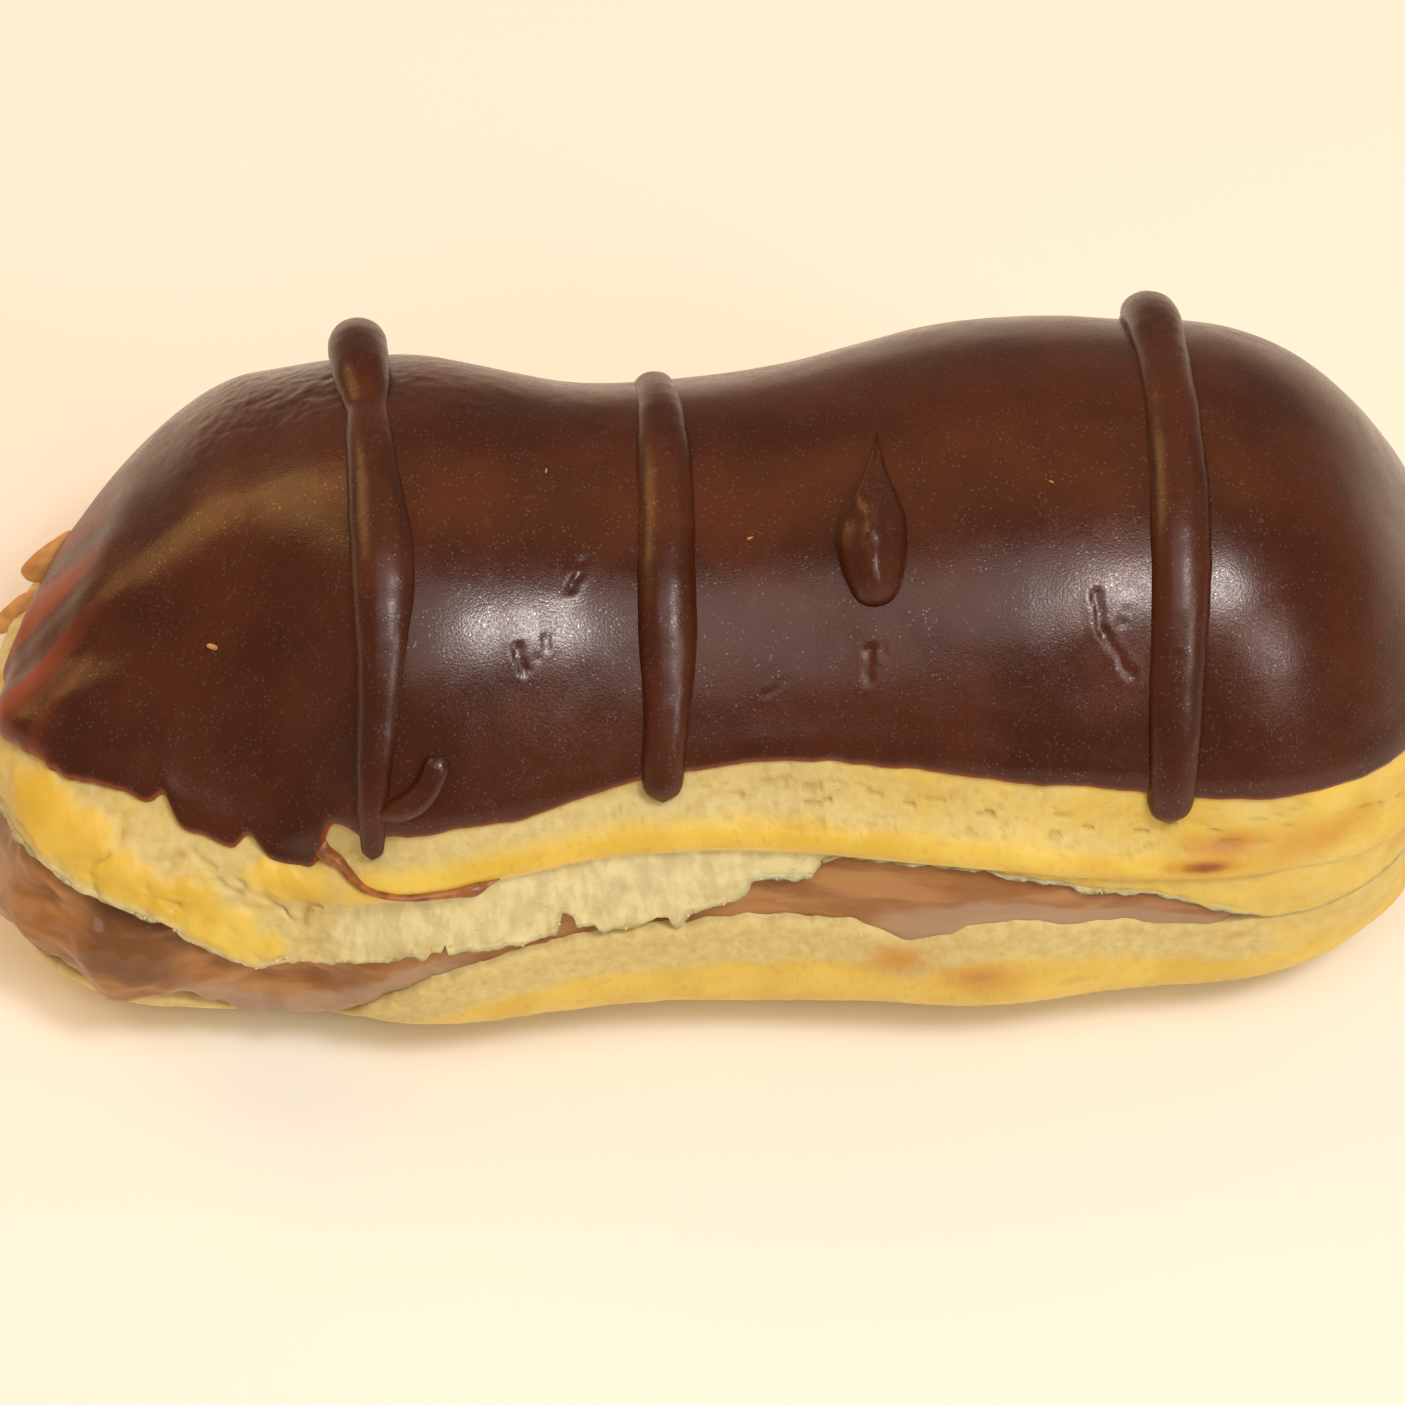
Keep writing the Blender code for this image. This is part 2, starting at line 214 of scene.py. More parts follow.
def skin(turn, level):
    """Points of the skin, in an array whose last axis is x, y, z. The arguments broadcast."""
    turn, level = np.broadcast_arrays(turn, level)
    spine_x, angle = plan_place(turn)
    out, across = np.cos(angle), np.sin(angle)
    at_end = np.abs(out) > 1e-9
    power = 2 / np.where(out > 0, ROUND_RIGHT, ROUND_LEFT)
    reach = np.where(out > 0, REACH_RIGHT, REACH_LEFT)
    reach_x = np.where(at_end, np.sign(out) * np.abs(out) ** power * reach, 0)
    width = np.where(across < 0, along(spine_x / MM, WAIST, 1), along(spine_x / MM, WAIST, 2)) * MM
    width = width * np.sign(across) * np.where(at_end, np.abs(across) ** power, 1)

    tilt = np.abs(level) * np.pi / 2
    below = level < 0
    # Above the widest height, the front of the left end leans back.
    leaning = between(-spine_x, 20 * MM, 32 * MM) * (1 - across) / 2 * ~below
    roundness = ROUND_SECTION - LEFT_LEAN * leaning
    narrow = np.abs(np.cos(tilt)) ** (2 / roundness)
    inward = np.where(below, FOOT_SHARE + (1 - FOOT_SHARE) * narrow, narrow)
    inward = np.where(level > 1 - 1e-9, 0, inward)
    x = spine_x + reach_x * inward
    crest = along(x / MM, CREST, 1) * MM
    rise = np.sin(tilt) ** (2 / roundness)
    z = WIDEST_HEIGHT + np.where(below, -WIDEST_HEIGHT, crest - WIDEST_HEIGHT) * rise
    y = width * inward
    from_lobe = np.maximum(-22 * MM - x, 0)
    upper_front = between(z, 15 * MM, 30 * MM) * between(-y, -3 * MM, 14 * MM)
    y = y - END_BEND * smooth_step((SPINE_LEFT - x) / REACH_LEFT)
    y = y + LEAN_BACK * upper_front * from_lobe**2 / (from_lobe + 3 * MM)
    return np.stack([x, y, z], axis=-1)


def level_at(turn, height):
    """The level at which the skin has this height, by halving."""
    turn, height = np.broadcast_arrays(turn, height)
    low, high = -np.ones(turn.shape), np.ones(turn.shape)
    for _ in range(20):
        middle = (low + high) / 2
        under = skin(turn, middle)[..., 2] < height
        low, high = np.where(under, middle, low), np.where(under, high, middle)
    return (low + high) / 2


def unit(vectors):
    return vectors / np.maximum(np.linalg.norm(vectors, axis=-1, keepdims=True), 1e-12)


def outward(turn, level):
    """The skin's outward direction."""
    level = np.minimum(level, 0.995)
    round_it = skin(turn + 0.004, level) - skin(turn - 0.004, level)
    up_it = skin(turn, np.minimum(level + 0.004, 1)) - skin(turn, np.maximum(level - 0.004, -1))
    return unit(np.cross(round_it, up_it))


print("widest, front to back, in mm:", round(float(np.ptp(skin(np.arange(0, 4, 0.01), 0)[:, 1])) * 1000, 1))

# %% [markdown]
# ## Unevenness
# Baked dough and set chocolate are never smooth. Gradient noise gives soft lumps of a chosen size, and
# a sum of a few sizes gives a natural surface. It is worked out with arrays, because a mesh here has
# about a hundred thousand points.

# %% Noise
def scramble(corner, seed):
    """A repeatable whole number for each corner of a lattice."""
    x, y, z = (corner[..., i].astype(np.uint64) for i in range(3))
    h = x * np.uint64(374761393) + y * np.uint64(668265263) + z * np.uint64(2654435761)
    h = h + np.uint64(seed * 97)
    h = (h ^ (h >> np.uint64(13))) * np.uint64(1274126177)
    h = (h ^ (h >> np.uint64(17))) * np.uint64(2246822519)
    return h ^ (h >> np.uint64(15))


def scatter(corner, seed):
    """Three repeatable numbers from 0 to 1 for each corner of a lattice."""
    h = scramble(corner, seed)
    return np.stack([((h >> np.uint64(s)) & np.uint64(1023)) / 1023.0 for s in (0, 10, 20)], axis=-1)


CORNERS = np.array([(i, j, k) for i in (0, 1) for j in (0, 1) for k in (0, 1)])


def lumps(points, size, seed=0):
    """Gradient noise from about -1 to 1, with lumps of this size."""
    p = points / size + 1000
    base = np.floor(p).astype(np.int64)
    f = p - base
    fade = f * f * f * (f * (f * 6 - 15) + 10)
    total = 0
    for corner in CORNERS:
        slope = scatter(base + corner, seed) * 2 - 1
        weight = np.prod(np.where(corner, fade, 1 - fade), axis=-1)
        total = total + weight * np.sum(slope * (f - corner), axis=-1)
    return total * 1.6


def rough(points, size, seed=0, layers=3):
    """Noise of several sizes, each half as big and half as strong as the one before."""
    return sum(lumps(points, size / 2**n, seed + 7 * n) / 2**n for n in range(layers))


# %% [markdown]
# ## A mesh from rows
# Every big piece here is a grid: rows that run round the bun, one point to each station. This helper
# joins the rows with faces, welds the points that meet on the crest, turns the faces outwards and keeps
# any extra numbers, such as how brown the crust is, as attributes that a material can read.

# %% Rows to a mesh
SIDE, RIGHT_END, LEFT_END = 230, 110, 190


def shares(count):
    return np.arange(count) / count


TURNS = np.concatenate([shares(SIDE), 1 + shares(RIGHT_END), 2 + shares(SIDE), 3 + shares(LEFT_END)])


def put(name, data):
    """A new object of the scene with this mesh, curve, light or camera."""
    obj = bpy.data.objects.new(name, data)
    bpy.context.scene.collection.objects.link(obj)
    return obj


def mesh_piece(name, points, faces, numbers=None):
    """A smooth mesh object with its numbers as attributes."""
    mesh = bpy.data.meshes.new(name)
    mesh.vertices.add(len(points))
    mesh.vertices.foreach_set("co", np.asarray(points, np.float32).ravel())
    corners = np.concatenate([np.asarray(f).ravel() for f in faces])
    sizes = np.concatenate([np.full(len(f), f.shape[1]) if f.ndim == 2 else [len(f)] for f in faces])
    mesh.loops.add(len(corners))
    mesh.loops.foreach_set("vertex_index", corners.astype(np.int32))
    mesh.polygons.add(len(sizes))
    mesh.polygons.foreach_set("loop_start", np.concatenate([[0], np.cumsum(sizes)[:-1]]).astype(np.int32))
    mesh.update(calc_edges=True)
    for label, values in (numbers or {}).items():
        layer = mesh.attributes.new(label, "FLOAT", "POINT")
        layer.data.foreach_set("value", np.asarray(values, np.float32).ravel())
    tidy_mesh(mesh)
    print(f"{name}: {len(mesh.vertices)} points, {len(mesh.polygons)} faces")
    return put(name, mesh)


def tidy_mesh(mesh):
    """Welds points that meet, turns faces outwards and shades them smooth."""
    work = bmesh.new()
    work.from_mesh(mesh)
    bmesh.ops.remove_doubles(work, verts=work.verts, dist=0.004 * MM)
    bmesh.ops.recalc_face_normals(work, faces=work.faces)
    work.to_mesh(mesh)
    work.free()
    mesh.shade_smooth()


def grid_faces(rows, columns, round_it=True):
    """Quads between neighbouring rows of a grid, whose rows close on themselves or not."""
    r = np.arange(rows - 1)[:, None]
    c = np.arange(columns if round_it else columns - 1)[None, :]
    d = (c + 1) % columns
    this_row, next_row = r * columns, (r + 1) * columns
    quads = np.stack(np.broadcast_arrays(this_row + c, this_row + d, next_row + d, next_row + c), axis=-1)
    return quads.reshape(-1, 4)


# %% [markdown]
# ## The choux
# The pastry is one closed skin that folds into the cut: from the crest down the lid's outside, over its
# torn lip, in along the underside, back out over the base and down to the foot. Each row of the grid
# has a height, a distance off the form and a depth into the cut. The lid carries a golden baked ridge
# with a crisp lower edge. Under it hangs a strip of pale torn crumb, where the knife pulled instead of
# cutting. At the left the crust has burst into humps with cracks between them.

# %% The lines that run round the pastry
def front_line(*knots):
    """A table by x along the front, in millimetres, turned into one by turn."""
    return [((x * MM - SPINE_LEFT) / (SPINE_RIGHT - SPINE_LEFT), z) for x, z in knots]


def round_line(turn, front, rest):
    """A line's height at each turn: front and rest are tables of (turn, millimetres), made periodic."""
    table = sorted([(t % 4, z) for t, z in front] + list(rest))
    places, values = np.array(table).T
    return np.interp(turn % 4, places, values, period=4) * MM


# Where the coat ends, the ridge's crest, the lid's torn edge and the base's upper edge.
COAT_FRONT = front_line(
    (-31.9, 21.9), (-31.3, 21.3), (-29.6, 21.0), (-27.9, 21.2), (-27.5, 22.4), (-27.2, 24.3),
    (-26.3, 25.0), (-25.2, 25.3), (-24.4, 24.8), (-22.6, 25.6), (-17.9, 26.2), (-13.5, 26.1),
    (-10, 26.8), (-5.7, 27.7), (1.2, 28.6), (8, 29.1), (17, 28.8), (25.4, 27.6), (30, 26.3),
)
COAT_REST = (
    (1.03, 25.4), (1.12, 24.8), (1.3, 23.0), (1.7, 22.6), (2.0, 25.4), (2.3, 27.0), (2.6, 28.4),
    (2.85, 26.0), (3.1, 24.4), (3.28, 23.2), (3.34, 22.6), (3.40, 22.9), (3.43, 21.3), (3.488, 21.6),
    (3.55, 21.2), (3.60, 21.9), (3.66, 22.3), (3.735, 22.6), (3.80, 22.9), (3.848, 23.2), (3.863, 23.9),
    (3.874, 22.7), (3.888, 22.1), (3.92, 22.1), (3.945, 21.8), (3.96, 21.4), (3.975, 22.1),
    (3.988, 22.5),
)
RIDGE_FRONT = front_line(
    (-32, 18.0), (-30.4, 18.2), (-27.3, 18.5), (-23.4, 20.6), (-15.9, 22.0), (-8, 22.7), (0, 22.9),
    (8, 22.7), (16.7, 22.3), (21.1, 21.8), (24.2, 20.9), (28.6, 19.8), (32, 19.3),
)
RIDGE_REST = (
    (1.05, 19.1), (1.10, 18.9), (1.16, 17.9), (1.3, 16.0), (1.6, 14.5), (2.2, 14.2), (2.75, 15.2),
    (3.0, 17.0), (3.5, 18.4), (3.75, 19.0), (3.9, 18.2),
)
TORN_FRONT = front_line(
    (-31.7, 12.2), (-30.1, 12.9), (-27.5, 13.6), (-23.9, 14.0), (-22.7, 14.6), (-22.2, 15.1), (-21.3, 15.2),
    (-20.8, 14.5), (-20.3, 15.2), (-19.4, 15.4), (-19.2, 16.6), (-19.0, 15.4), (-13.2, 15.4), (-11.7, 15.8),
    (-11.3, 16.0), (-10.9, 17.9), (-10.1, 17.7), (-9.9, 16.6), (-8.6, 16.2), (-8.1, 15.5), (-7.1, 15.9),
    (-4.2, 16.5), (-3.4, 16.7), (-3.1, 15.9), (-2.6, 15.7), (-2.3, 16.5), (-1.8, 17.4), (0.7, 18.0),
    (1.5, 18.4), (2.1, 19.0), (2.5, 20.1), (6.7, 20.2), (7.3, 21.4), (8.5, 22.2), (15, 21.9),
    (18.7, 21.5), (21.1, 20.7), (24.2, 19.8), (26.2, 18.7), (28.8, 17.9), (31.2, 17.4),
)
TORN_REST = (
    (1.0, 16.8), (1.018, 15.8), (1.038, 15.1), (1.07, 14.1), (1.12, 13.6), (1.6, 13.3), (2.2, 13.8),
    (2.75, 15.0), (3.0, 15.6), (3.5, 17.6), (3.603, 18.2), (3.652, 17.6), (3.71, 17.5), (3.758, 17.4),
    (3.795, 17.1), (3.84, 16.8), (3.873, 16.2), (3.905, 14.9), (3.942, 13.6), (3.978, 12.5),
)
BASE_FRONT = front_line(
    (-32, 4.0), (-27.5, 4.2), (-26.2, 6.2), (-24.9, 8.4), (-21.1, 11.3), (-17.5, 13.0), (-11.6, 14.4),
    (-6.9, 15.0), (-2.6, 15.4), (2.2, 16.0), (9.8, 16.2), (11.6, 15.1), (13.3, 14.3), (15.1, 15.0),
    (16.4, 15.5), (17.6, 16.4), (21.3, 16.7), (24.4, 15.8), (28.9, 15.2), (31.4, 14.4),
)
BASE_REST = (
    (1.008, 14.3), (1.022, 13.5), (1.073, 13.3), (1.1, 13.0), (1.6, 13.0), (2.2, 13.5), (2.72, 14.6),
    (2.85, 9.5), (3.1, 6.4), (3.5, 6.4), (3.69, 7.2), (3.75, 8.0), (3.84, 8.2), (3.897, 6.9),
    (3.955, 4.6),
)
#  turn, how deep the cut goes in there, in millimetres
CUT_DEPTH = (
    (0.0, 7.0), (0.95, 7.0), (1.04, 3.5), (1.08, 0.4), (1.14, 0.08), (2.7, 0.08), (2.82, 4.0),
    (3.0, 7.0), (3.99, 7.0),
)


def ragged(turn, amount, seed):
    """A frayed line: short steps and teeth of several sizes."""
    ring = skin(turn, 0)
    teeth = rough(ring, 2.2 * MM, seed, 4)
    return (teeth + 0.6 * np.abs(lumps(ring, 0.7 * MM, seed + 31))) * amount


# The front is looked at most, so it has the most stations.
DOUGH_TURNS = np.concatenate([shares(400), 1 + shares(110), 2 + shares(84), 3 + shares(206)])
coat_line = round_line(TURNS, COAT_FRONT, COAT_REST)
top_edge = round_line(DOUGH_TURNS, COAT_FRONT, COAT_REST)
ridge_line = round_line(DOUGH_TURNS, RIDGE_FRONT, RIDGE_REST)
torn_line = np.minimum(round_line(DOUGH_TURNS, TORN_FRONT, TORN_REST), ridge_line - 0.25 * MM)
base_line = round_line(DOUGH_TURNS, BASE_FRONT, BASE_REST)
cut_depth = np.interp(DOUGH_TURNS, *np.array(CUT_DEPTH).T, period=4) * MM

# Where the hanging crumb is long it frays more, and the closed part of the cut is only a crease.
hanging = smooth_step((ridge_line - torn_line) / (3 * MM))
opened = smooth_step((cut_depth - 0.5 * MM) / (3 * MM))
torn_line = torn_line + ragged(DOUGH_TURNS, 0.3 * MM, 3) * hanging * opened
torn_line = torn_line + ragged(DOUGH_TURNS, 0.10 * MM, 5) * opened
torn_line = np.minimum(torn_line, ridge_line - 0.2 * MM)
base_line = base_line + ragged(DOUGH_TURNS, 0.22 * MM, 9) * opened
closed_line = torn_line - 0.06 * MM
base_line = closed_line + (np.minimum(base_line, torn_line - 0.25 * MM) - closed_line) * opened
print("the cut is open over", round(float(opened.mean()) * 100), "% of the way round")

# %% The rows of the pastry
COAT_COVER = 3.5 * MM  # how far the pastry's fine rows go on under the coat
COAT_THICK = 1.5 * MM


def rows(start, end, count, ease=1.0):
    """Rows from one line to another, the first included, bunched towards the start when ease > 1."""
    t = (np.arange(count) / count)[:, None] ** ease
    return start[None, :] * (1 - t) + end[None, :] * t


flat = np.zeros_like(DOUGH_TURNS)
top_line = top_edge + COAT_COVER
top_level = level_at(DOUGH_TURNS, top_line)
under_coat = top_level + (0.97 - top_level) * np.array([[1.0], [0.6], [0.3], [0.12]])
lip_rise = torn_line + 0.35 * MM * opened
SHEET_ROWS = {"bare": 40, "torn": 24, "lip": 8, "back": 3, "shelf": 7, "base": 34}
heights = [
    rows(top_line, ridge_line, SHEET_ROWS["bare"]),
    rows(ridge_line, torn_line, SHEET_ROWS["torn"]),
    rows(torn_line, lip_rise, SHEET_ROWS["lip"], 0.7),
    rows(lip_rise, base_line - 0.2 * MM, SHEET_ROWS["back"]),
    rows(base_line - 0.2 * MM, base_line, SHEET_ROWS["shelf"]),
    rows(base_line, flat, SHEET_ROWS["base"], 1.15),
]
depths = [
    np.zeros((SHEET_ROWS["bare"] + SHEET_ROWS["torn"], len(DOUGH_TURNS))),
    rows(flat, cut_depth, SHEET_ROWS["lip"], 1.3),
    rows(cut_depth, cut_depth, SHEET_ROWS["back"]),
    rows(cut_depth, flat, SHEET_ROWS["shelf"], 0.8),
    np.zeros((SHEET_ROWS["base"], len(DOUGH_TURNS))),
]
height = np.concatenate(heights)
depth = np.concatenate([np.zeros_like(under_coat)] + depths)
level = np.concatenate([under_coat, level_at(DOUGH_TURNS[None, :], height)])
place = skin(DOUGH_TURNS[None, :], level)
normal = outward(DOUGH_TURNS[None, :], level)
height = place[..., 2]
print("pastry grid:", place.shape[:2])

# %% The relief of the pastry
COATED_ROWS = 14  # the fine rows that start under the coat
FIRST_BARE = len(under_coat)
FIRST_TORN = FIRST_BARE + SHEET_ROWS["bare"]
FIRST_UNDER = FIRST_TORN + SHEET_ROWS["torn"]
FIRST_BASE = FIRST_UNDER + SHEET_ROWS["lip"] + SHEET_ROWS["back"] + SHEET_ROWS["shelf"]
row = np.arange(len(place))[:, None]
bare = (row >= FIRST_BARE) & (row < FIRST_TORN)
torn = (row >= FIRST_TORN) & (row < FIRST_UNDER)
base = row >= FIRST_BASE
inside = (row >= FIRST_UNDER) & (row < FIRST_BASE)


def stroke_along(points, path, wide):
    """1 on a line through several points, falling off over its width."""
    return np.max([near_line(points, ends, wide) for ends in zip(path[:-1], path[1:])], axis=0)


def near_line(points, ends, wide):
    """1 on a straight stroke between two points, falling off over its width."""
    a, b = np.array(ends, float) * MM
    t = np.clip(((points - a) @ (b - a)) / ((b - a) @ (b - a)), 0, 1)
    far = np.linalg.norm(points - (a + t[..., None] * (b - a)), axis=-1)
    return np.exp(-((far / (wide * MM)) ** 2))


def on_skin(*addresses):
    """Points, in millimetres, of (turn, level) addresses."""
    return [skin(np.array(float(t)), np.array(float(l))) / MM for t, l in addresses]


# The cracks of the burst crust, as paths of (turn, level) addresses.
CRACKS = (
    on_skin(
        (3.850, 0.215), (3.857, 0.245), (3.883, 0.270), (3.908, 0.280), (3.928, 0.245), (3.953, 0.215),
        (3.968, 0.205),
    ),
    on_skin((3.968, 0.225), (4.003, 0.200), (4.018, 0.165), (4.043, 0.135), (4.052, 0.170), (4.064, 0.175)),
    on_skin((3.810, 0.325), (3.810, 0.285), (3.788, 0.240), (3.785, 0.185)),
    on_skin((3.883, 0.270), (3.875, 0.220), (3.885, 0.180)),
)
#  x, z, width and height of each golden hump where the crust has burst, in millimetres
HUMPS = (
    (-46.6, 19.9, 2.6, 1.8), (-44.2, 20.2, 2.0, 1.2), (-41.8, 18.6, 2.3, 1.5), (-37.4, 17.9, 2.6, 1.4),
    (-34.8, 16.3, 2.2, 1.5), (-33.0, 14.6, 2.2, 1.3), (-29.5, 19.9, 2.8, 1.0), (-25.8, 20.6, 3.4, 1.1),
)
turn_grid = np.broadcast_to(DOUGH_TURNS, level.shape)
in_front = (turn_grid < 1.4) | (turn_grid > 3.5)
above_ridge = (height - ridge_line) / MM
below_lip = (base_line - height) / MM
# The front shows a clean ridge. It fades out to the left, where the crust has burst.
burst = np.where(turn_grid > 2, between(turn_grid, 3.3, 3.6), 1 - between(turn_grid, 0.02, 0.14))
ridged = (1 - 0.75 * burst) * (1 - 0.75 * hump(turn_grid, 1.6, 1.0) * between(turn_grid, 1.0, 1.12))

soft = rough(place, 9 * MM, 11, 2)
fine = rough(place, 1.3 * MM, 17, 3)
wrinkles = lumps(place * np.array([0.45, 0.45, 1.6]), 1.1 * MM, 23)
warp = place + np.stack([rough(place, 1.6 * MM, s, 2) for s in (31, 37, 41)], axis=-1) * 0.5 * MM
crack = np.max([stroke_along(warp, path, 0.26) for path in CRACKS], axis=0)
crack = crack * between(lumps(place, 1.5 * MM, 43), -0.9, -0.1)
humps = np.zeros_like(level)
for x, z, wide, tall in HUMPS:
    far = ((warp[..., 0] / MM - x) / wide) ** 2 + ((warp[..., 2] / MM - z) / tall) ** 2
    humps = np.maximum(humps, between(-far, -2.2, -0.1) * in_front)
slit_band = hump(above_ridge, 3.6, 1.5) * (1 - burst) * between(turn_grid, 0.4, 0.55) * in_front
slits = between(lumps(place * np.array([0.3, 0.3, 1]), 0.42 * MM, 59), 0.34, 0.5) * slit_band
dents = between(lumps(place, 0.55 * MM, 67), 0.42, 0.6) * (1 - burst)

lift = np.zeros_like(level)
lift += bare * ridged * 0.95 * hump(above_ridge, 1.1, 1.4)
lift -= bare * ridged * 0.35 * hump(above_ridge, 4.2, 1.4)
lift += bare * (0.04 * wrinkles * between(above_ridge, 2.0, 3.2) + 0.03 * fine)
lift += (bare | torn) * burst * (0.5 * humps + 0.2 * soft + 0.05 * fine)
lift -= (bare | torn) * 0.38 * crack
lift -= bare * (0.3 * slits + 0.05 * dents * between(above_ridge, 1.6, 2.8))
step_in = between(-above_ridge, 0.0, 0.35)
lift += torn * ridged * (0.42 * (1 - step_in) - 0.25 * step_in)
lift += torn * step_in * (0.20 * rough(place, 2.2 * MM, 47, 3) + 0.07 * fine)
to_torn = (height - torn_line) / MM
lift -= torn * 0.12 * hump(to_torn, 0, 0.15)
lift += base * (0.5 * hump(height / MM, 7.0, 2.6) - 0.15 * hump(below_lip, 2.2, 1.2))
lift += base * (0.04 * fine + 0.2 * soft) * between(height / MM, 0.3, 3.0)
lift -= base * 0.05 * dents * hump(below_lip, 2.0, 1.8)
lift -= base * 0.4 * np.exp(-below_lip / 0.3) * opened
lift += inside * opened * 0.35 * rough(place, 2.0 * MM, 53, 3) - inside * 0.75 * opened * (depth > 0)
lift += bare * 0.25 * soft * (1 - burst)
behind = between(turn_grid, 1.1, 1.4) * (1 - between(turn_grid, 2.9, 3.3))
off_the_foot = between(height / MM, 0.5, 4.0)
lift += (bare | base) * behind * (0.30 * rough(place, 6 * MM, 103, 3) + 0.05 * fine) * off_the_foot
above_edge = smooth_step((place[..., 2] - top_edge - 0.5 * MM) / (4 * MM))
lift -= (row < FIRST_BARE + COATED_ROWS) * COAT_THICK / MM * above_edge

# Under the coat's crest it lies deeper, so that its flat cap stays covered over the waist too.
lift -= (row < FIRST_BARE) * 3.5 * between(level, 0.6, 0.95)
across_in = unit(normal * np.array([1, 1, 0]))
points = place + normal * (lift * MM)[..., None] - across_in * depth[..., None]
points[..., 2] = np.maximum(points[..., 2], 0)
FOOT_SHARES = (0.9, 0.5)  # the flat foot's inner rings, as shares of its outline
foot = np.stack([points[-1] * np.array([s, s, 0]) for s in FOOT_SHARES])
points = np.concatenate([points, foot])

# %% [markdown]
# The crust's colour follows its relief: what stood proud baked golden, what lay in a hollow stayed
# pale, and torn crumb was never crust at all. A few spots caught more heat. Pores, slits and cracks
# are painted darker as shade in their hollows, and a pale painted highlight runs along the ridge's
# lower edge. These go into attributes.

# %% How baked each point is
#  x, z, width, height, in millimetres, and strength
HOT_SPOTS = (
    (34.2, 20.6, 3.0, 0.75, 1.0),
    (35.5, 21.3, 4.0, 1.2, 0.40),
    (12.8, 12.4, 2.8, 2.2, 0.66),
    (18.8, 10.4, 3.6, 2.1, 0.72),
    (25.5, 9.0, 1.6, 0.7, 0.45),
    (42.0, 21.0, 7.0, 1.8, 0.55),
    (35.8, 21.9, 3.8, 1.1, 0.78),
    (25.5, 21.8, 8.0, 1.5, 0.26),
    (37.0, 12.2, 1.6, 0.6, 0.4),
    (49.0, 15.5, 1.2, 1.0, 0.4),
    (47.0, 9.0, 4.0, 1.0, 0.3),
    (-43.8, 20.2, 2.4, 1.2, 0.30),
    (-41.6, 18.6, 1.8, 1.1, 0.22),
    (-29.0, 19.6, 3.0, 0.9, 0.38),
    (-34.0, 15.4, 1.6, 1.2, 0.22),
)
golden = bare * np.maximum(ridged * hump(above_ridge, 1.1, 1.5), 0.3 * hump(above_ridge, 6.8, 1.3))
golden = np.maximum(golden * (1 - burst), (bare | torn) * burst * (0.25 + 0.75 * humps))
golden = np.maximum(golden, base * between(below_lip, 2.6, 6.0))
end_and_back = between(turn_grid, 1.0, 1.12) * (1 - between(turn_grid, 3.0, 3.3))
golden = np.maximum(golden, (0.6 + 0.25 * soft) * (base | bare) * end_and_back)
crumb = np.clip(torn * ridged * step_in * (1 - 0.6 * burst) + inside * opened, 0, 1)
# A painted highlight: a pale line along the ridge's lower edge, in the crumb's colour, where light catches the ridge.
ridge_edge_highlight = bare * ridged * 0.9 * hump(above_ridge, 0.05, 0.22)
crumb = np.maximum(crumb, ridge_edge_highlight * (1 - between(turn_grid, 0.6, 0.7)))
# Right of the hanging strip the lid's edge is only a little paler than the ridge over it.
right_edge = torn * between(turn_grid, 0.66, 0.8) * (turn_grid < 2)
crumb = crumb * (1 - 0.8 * right_edge)
golden = np.maximum(golden, 0.55 * right_edge)
golden = np.maximum(golden, (0.56 + 0.3 * soft) * bare * between(turn_grid, 0.45, 0.8) * (turn_grid < 1.2))
pale_rim = hump(turn_grid, 3.37, 0.07) * between(height / MM, 15, 18)
crumb = np.maximum(crumb, 0.8 * pale_rim * bare)
crumb = np.maximum(crumb, (bare | torn) * burst * 0.5 * hump(to_torn, 0.2, 0.7))
golden = golden * (1 - pale_rim)
# Pores, slits and cracks are cut in, and they are also painted darker: painted shade in these hollows.
pitted = np.maximum(slits, np.maximum(0.45 * crack * (bare | torn), 0.45 * dents * (bare | base)))
brown = np.zeros_like(level)
for x, z, width, tall, strength in HOT_SPOTS:
    spot = hump(place[..., 0] / MM, x, width) * hump(height / MM, z, tall) * in_front * strength
    brown = np.maximum(brown, spot * (bare | base | torn))
mottle = rough(place, 7 * MM, 107, 3)
brown = np.maximum(brown, behind * np.clip(0.16 + 0.30 * mottle, 0, 0.5) * (bare | base | torn))


def with_foot(values):
    return np.concatenate([values, np.repeat(values[-1:], len(FOOT_SHARES), axis=0)])


stations = len(DOUGH_TURNS)
first = np.arange(stations)
last = (len(points) - 1) * stations + np.arange(stations)
choux = mesh_piece(
    "choux_bun", points.reshape(-1, 3), [grid_faces(len(points), stations), first, last],
    {
        "golden": with_foot(golden), "crumb": with_foot(crumb),
        "brown": with_foot(brown), "pitted": with_foot(pitted),
    },
)

# %% [markdown]
# ## The cream
# The cream is a band in the cut, built the same way: a closed section carried round the front and the
# left end. At the left it was piped generously and hangs over the base in soft lobes. To the right it
# stays back under the lid, and a thin smear lies on the base's edge.

# %% The cream
CREAM_TURNS = np.linspace(2.735, 5.078, 490)
OUTER_ROWS, INNER_ROWS = 30, 6


def on_cream(line):
    return np.interp(CREAM_TURNS % 4, DOUGH_TURNS, line, period=4)


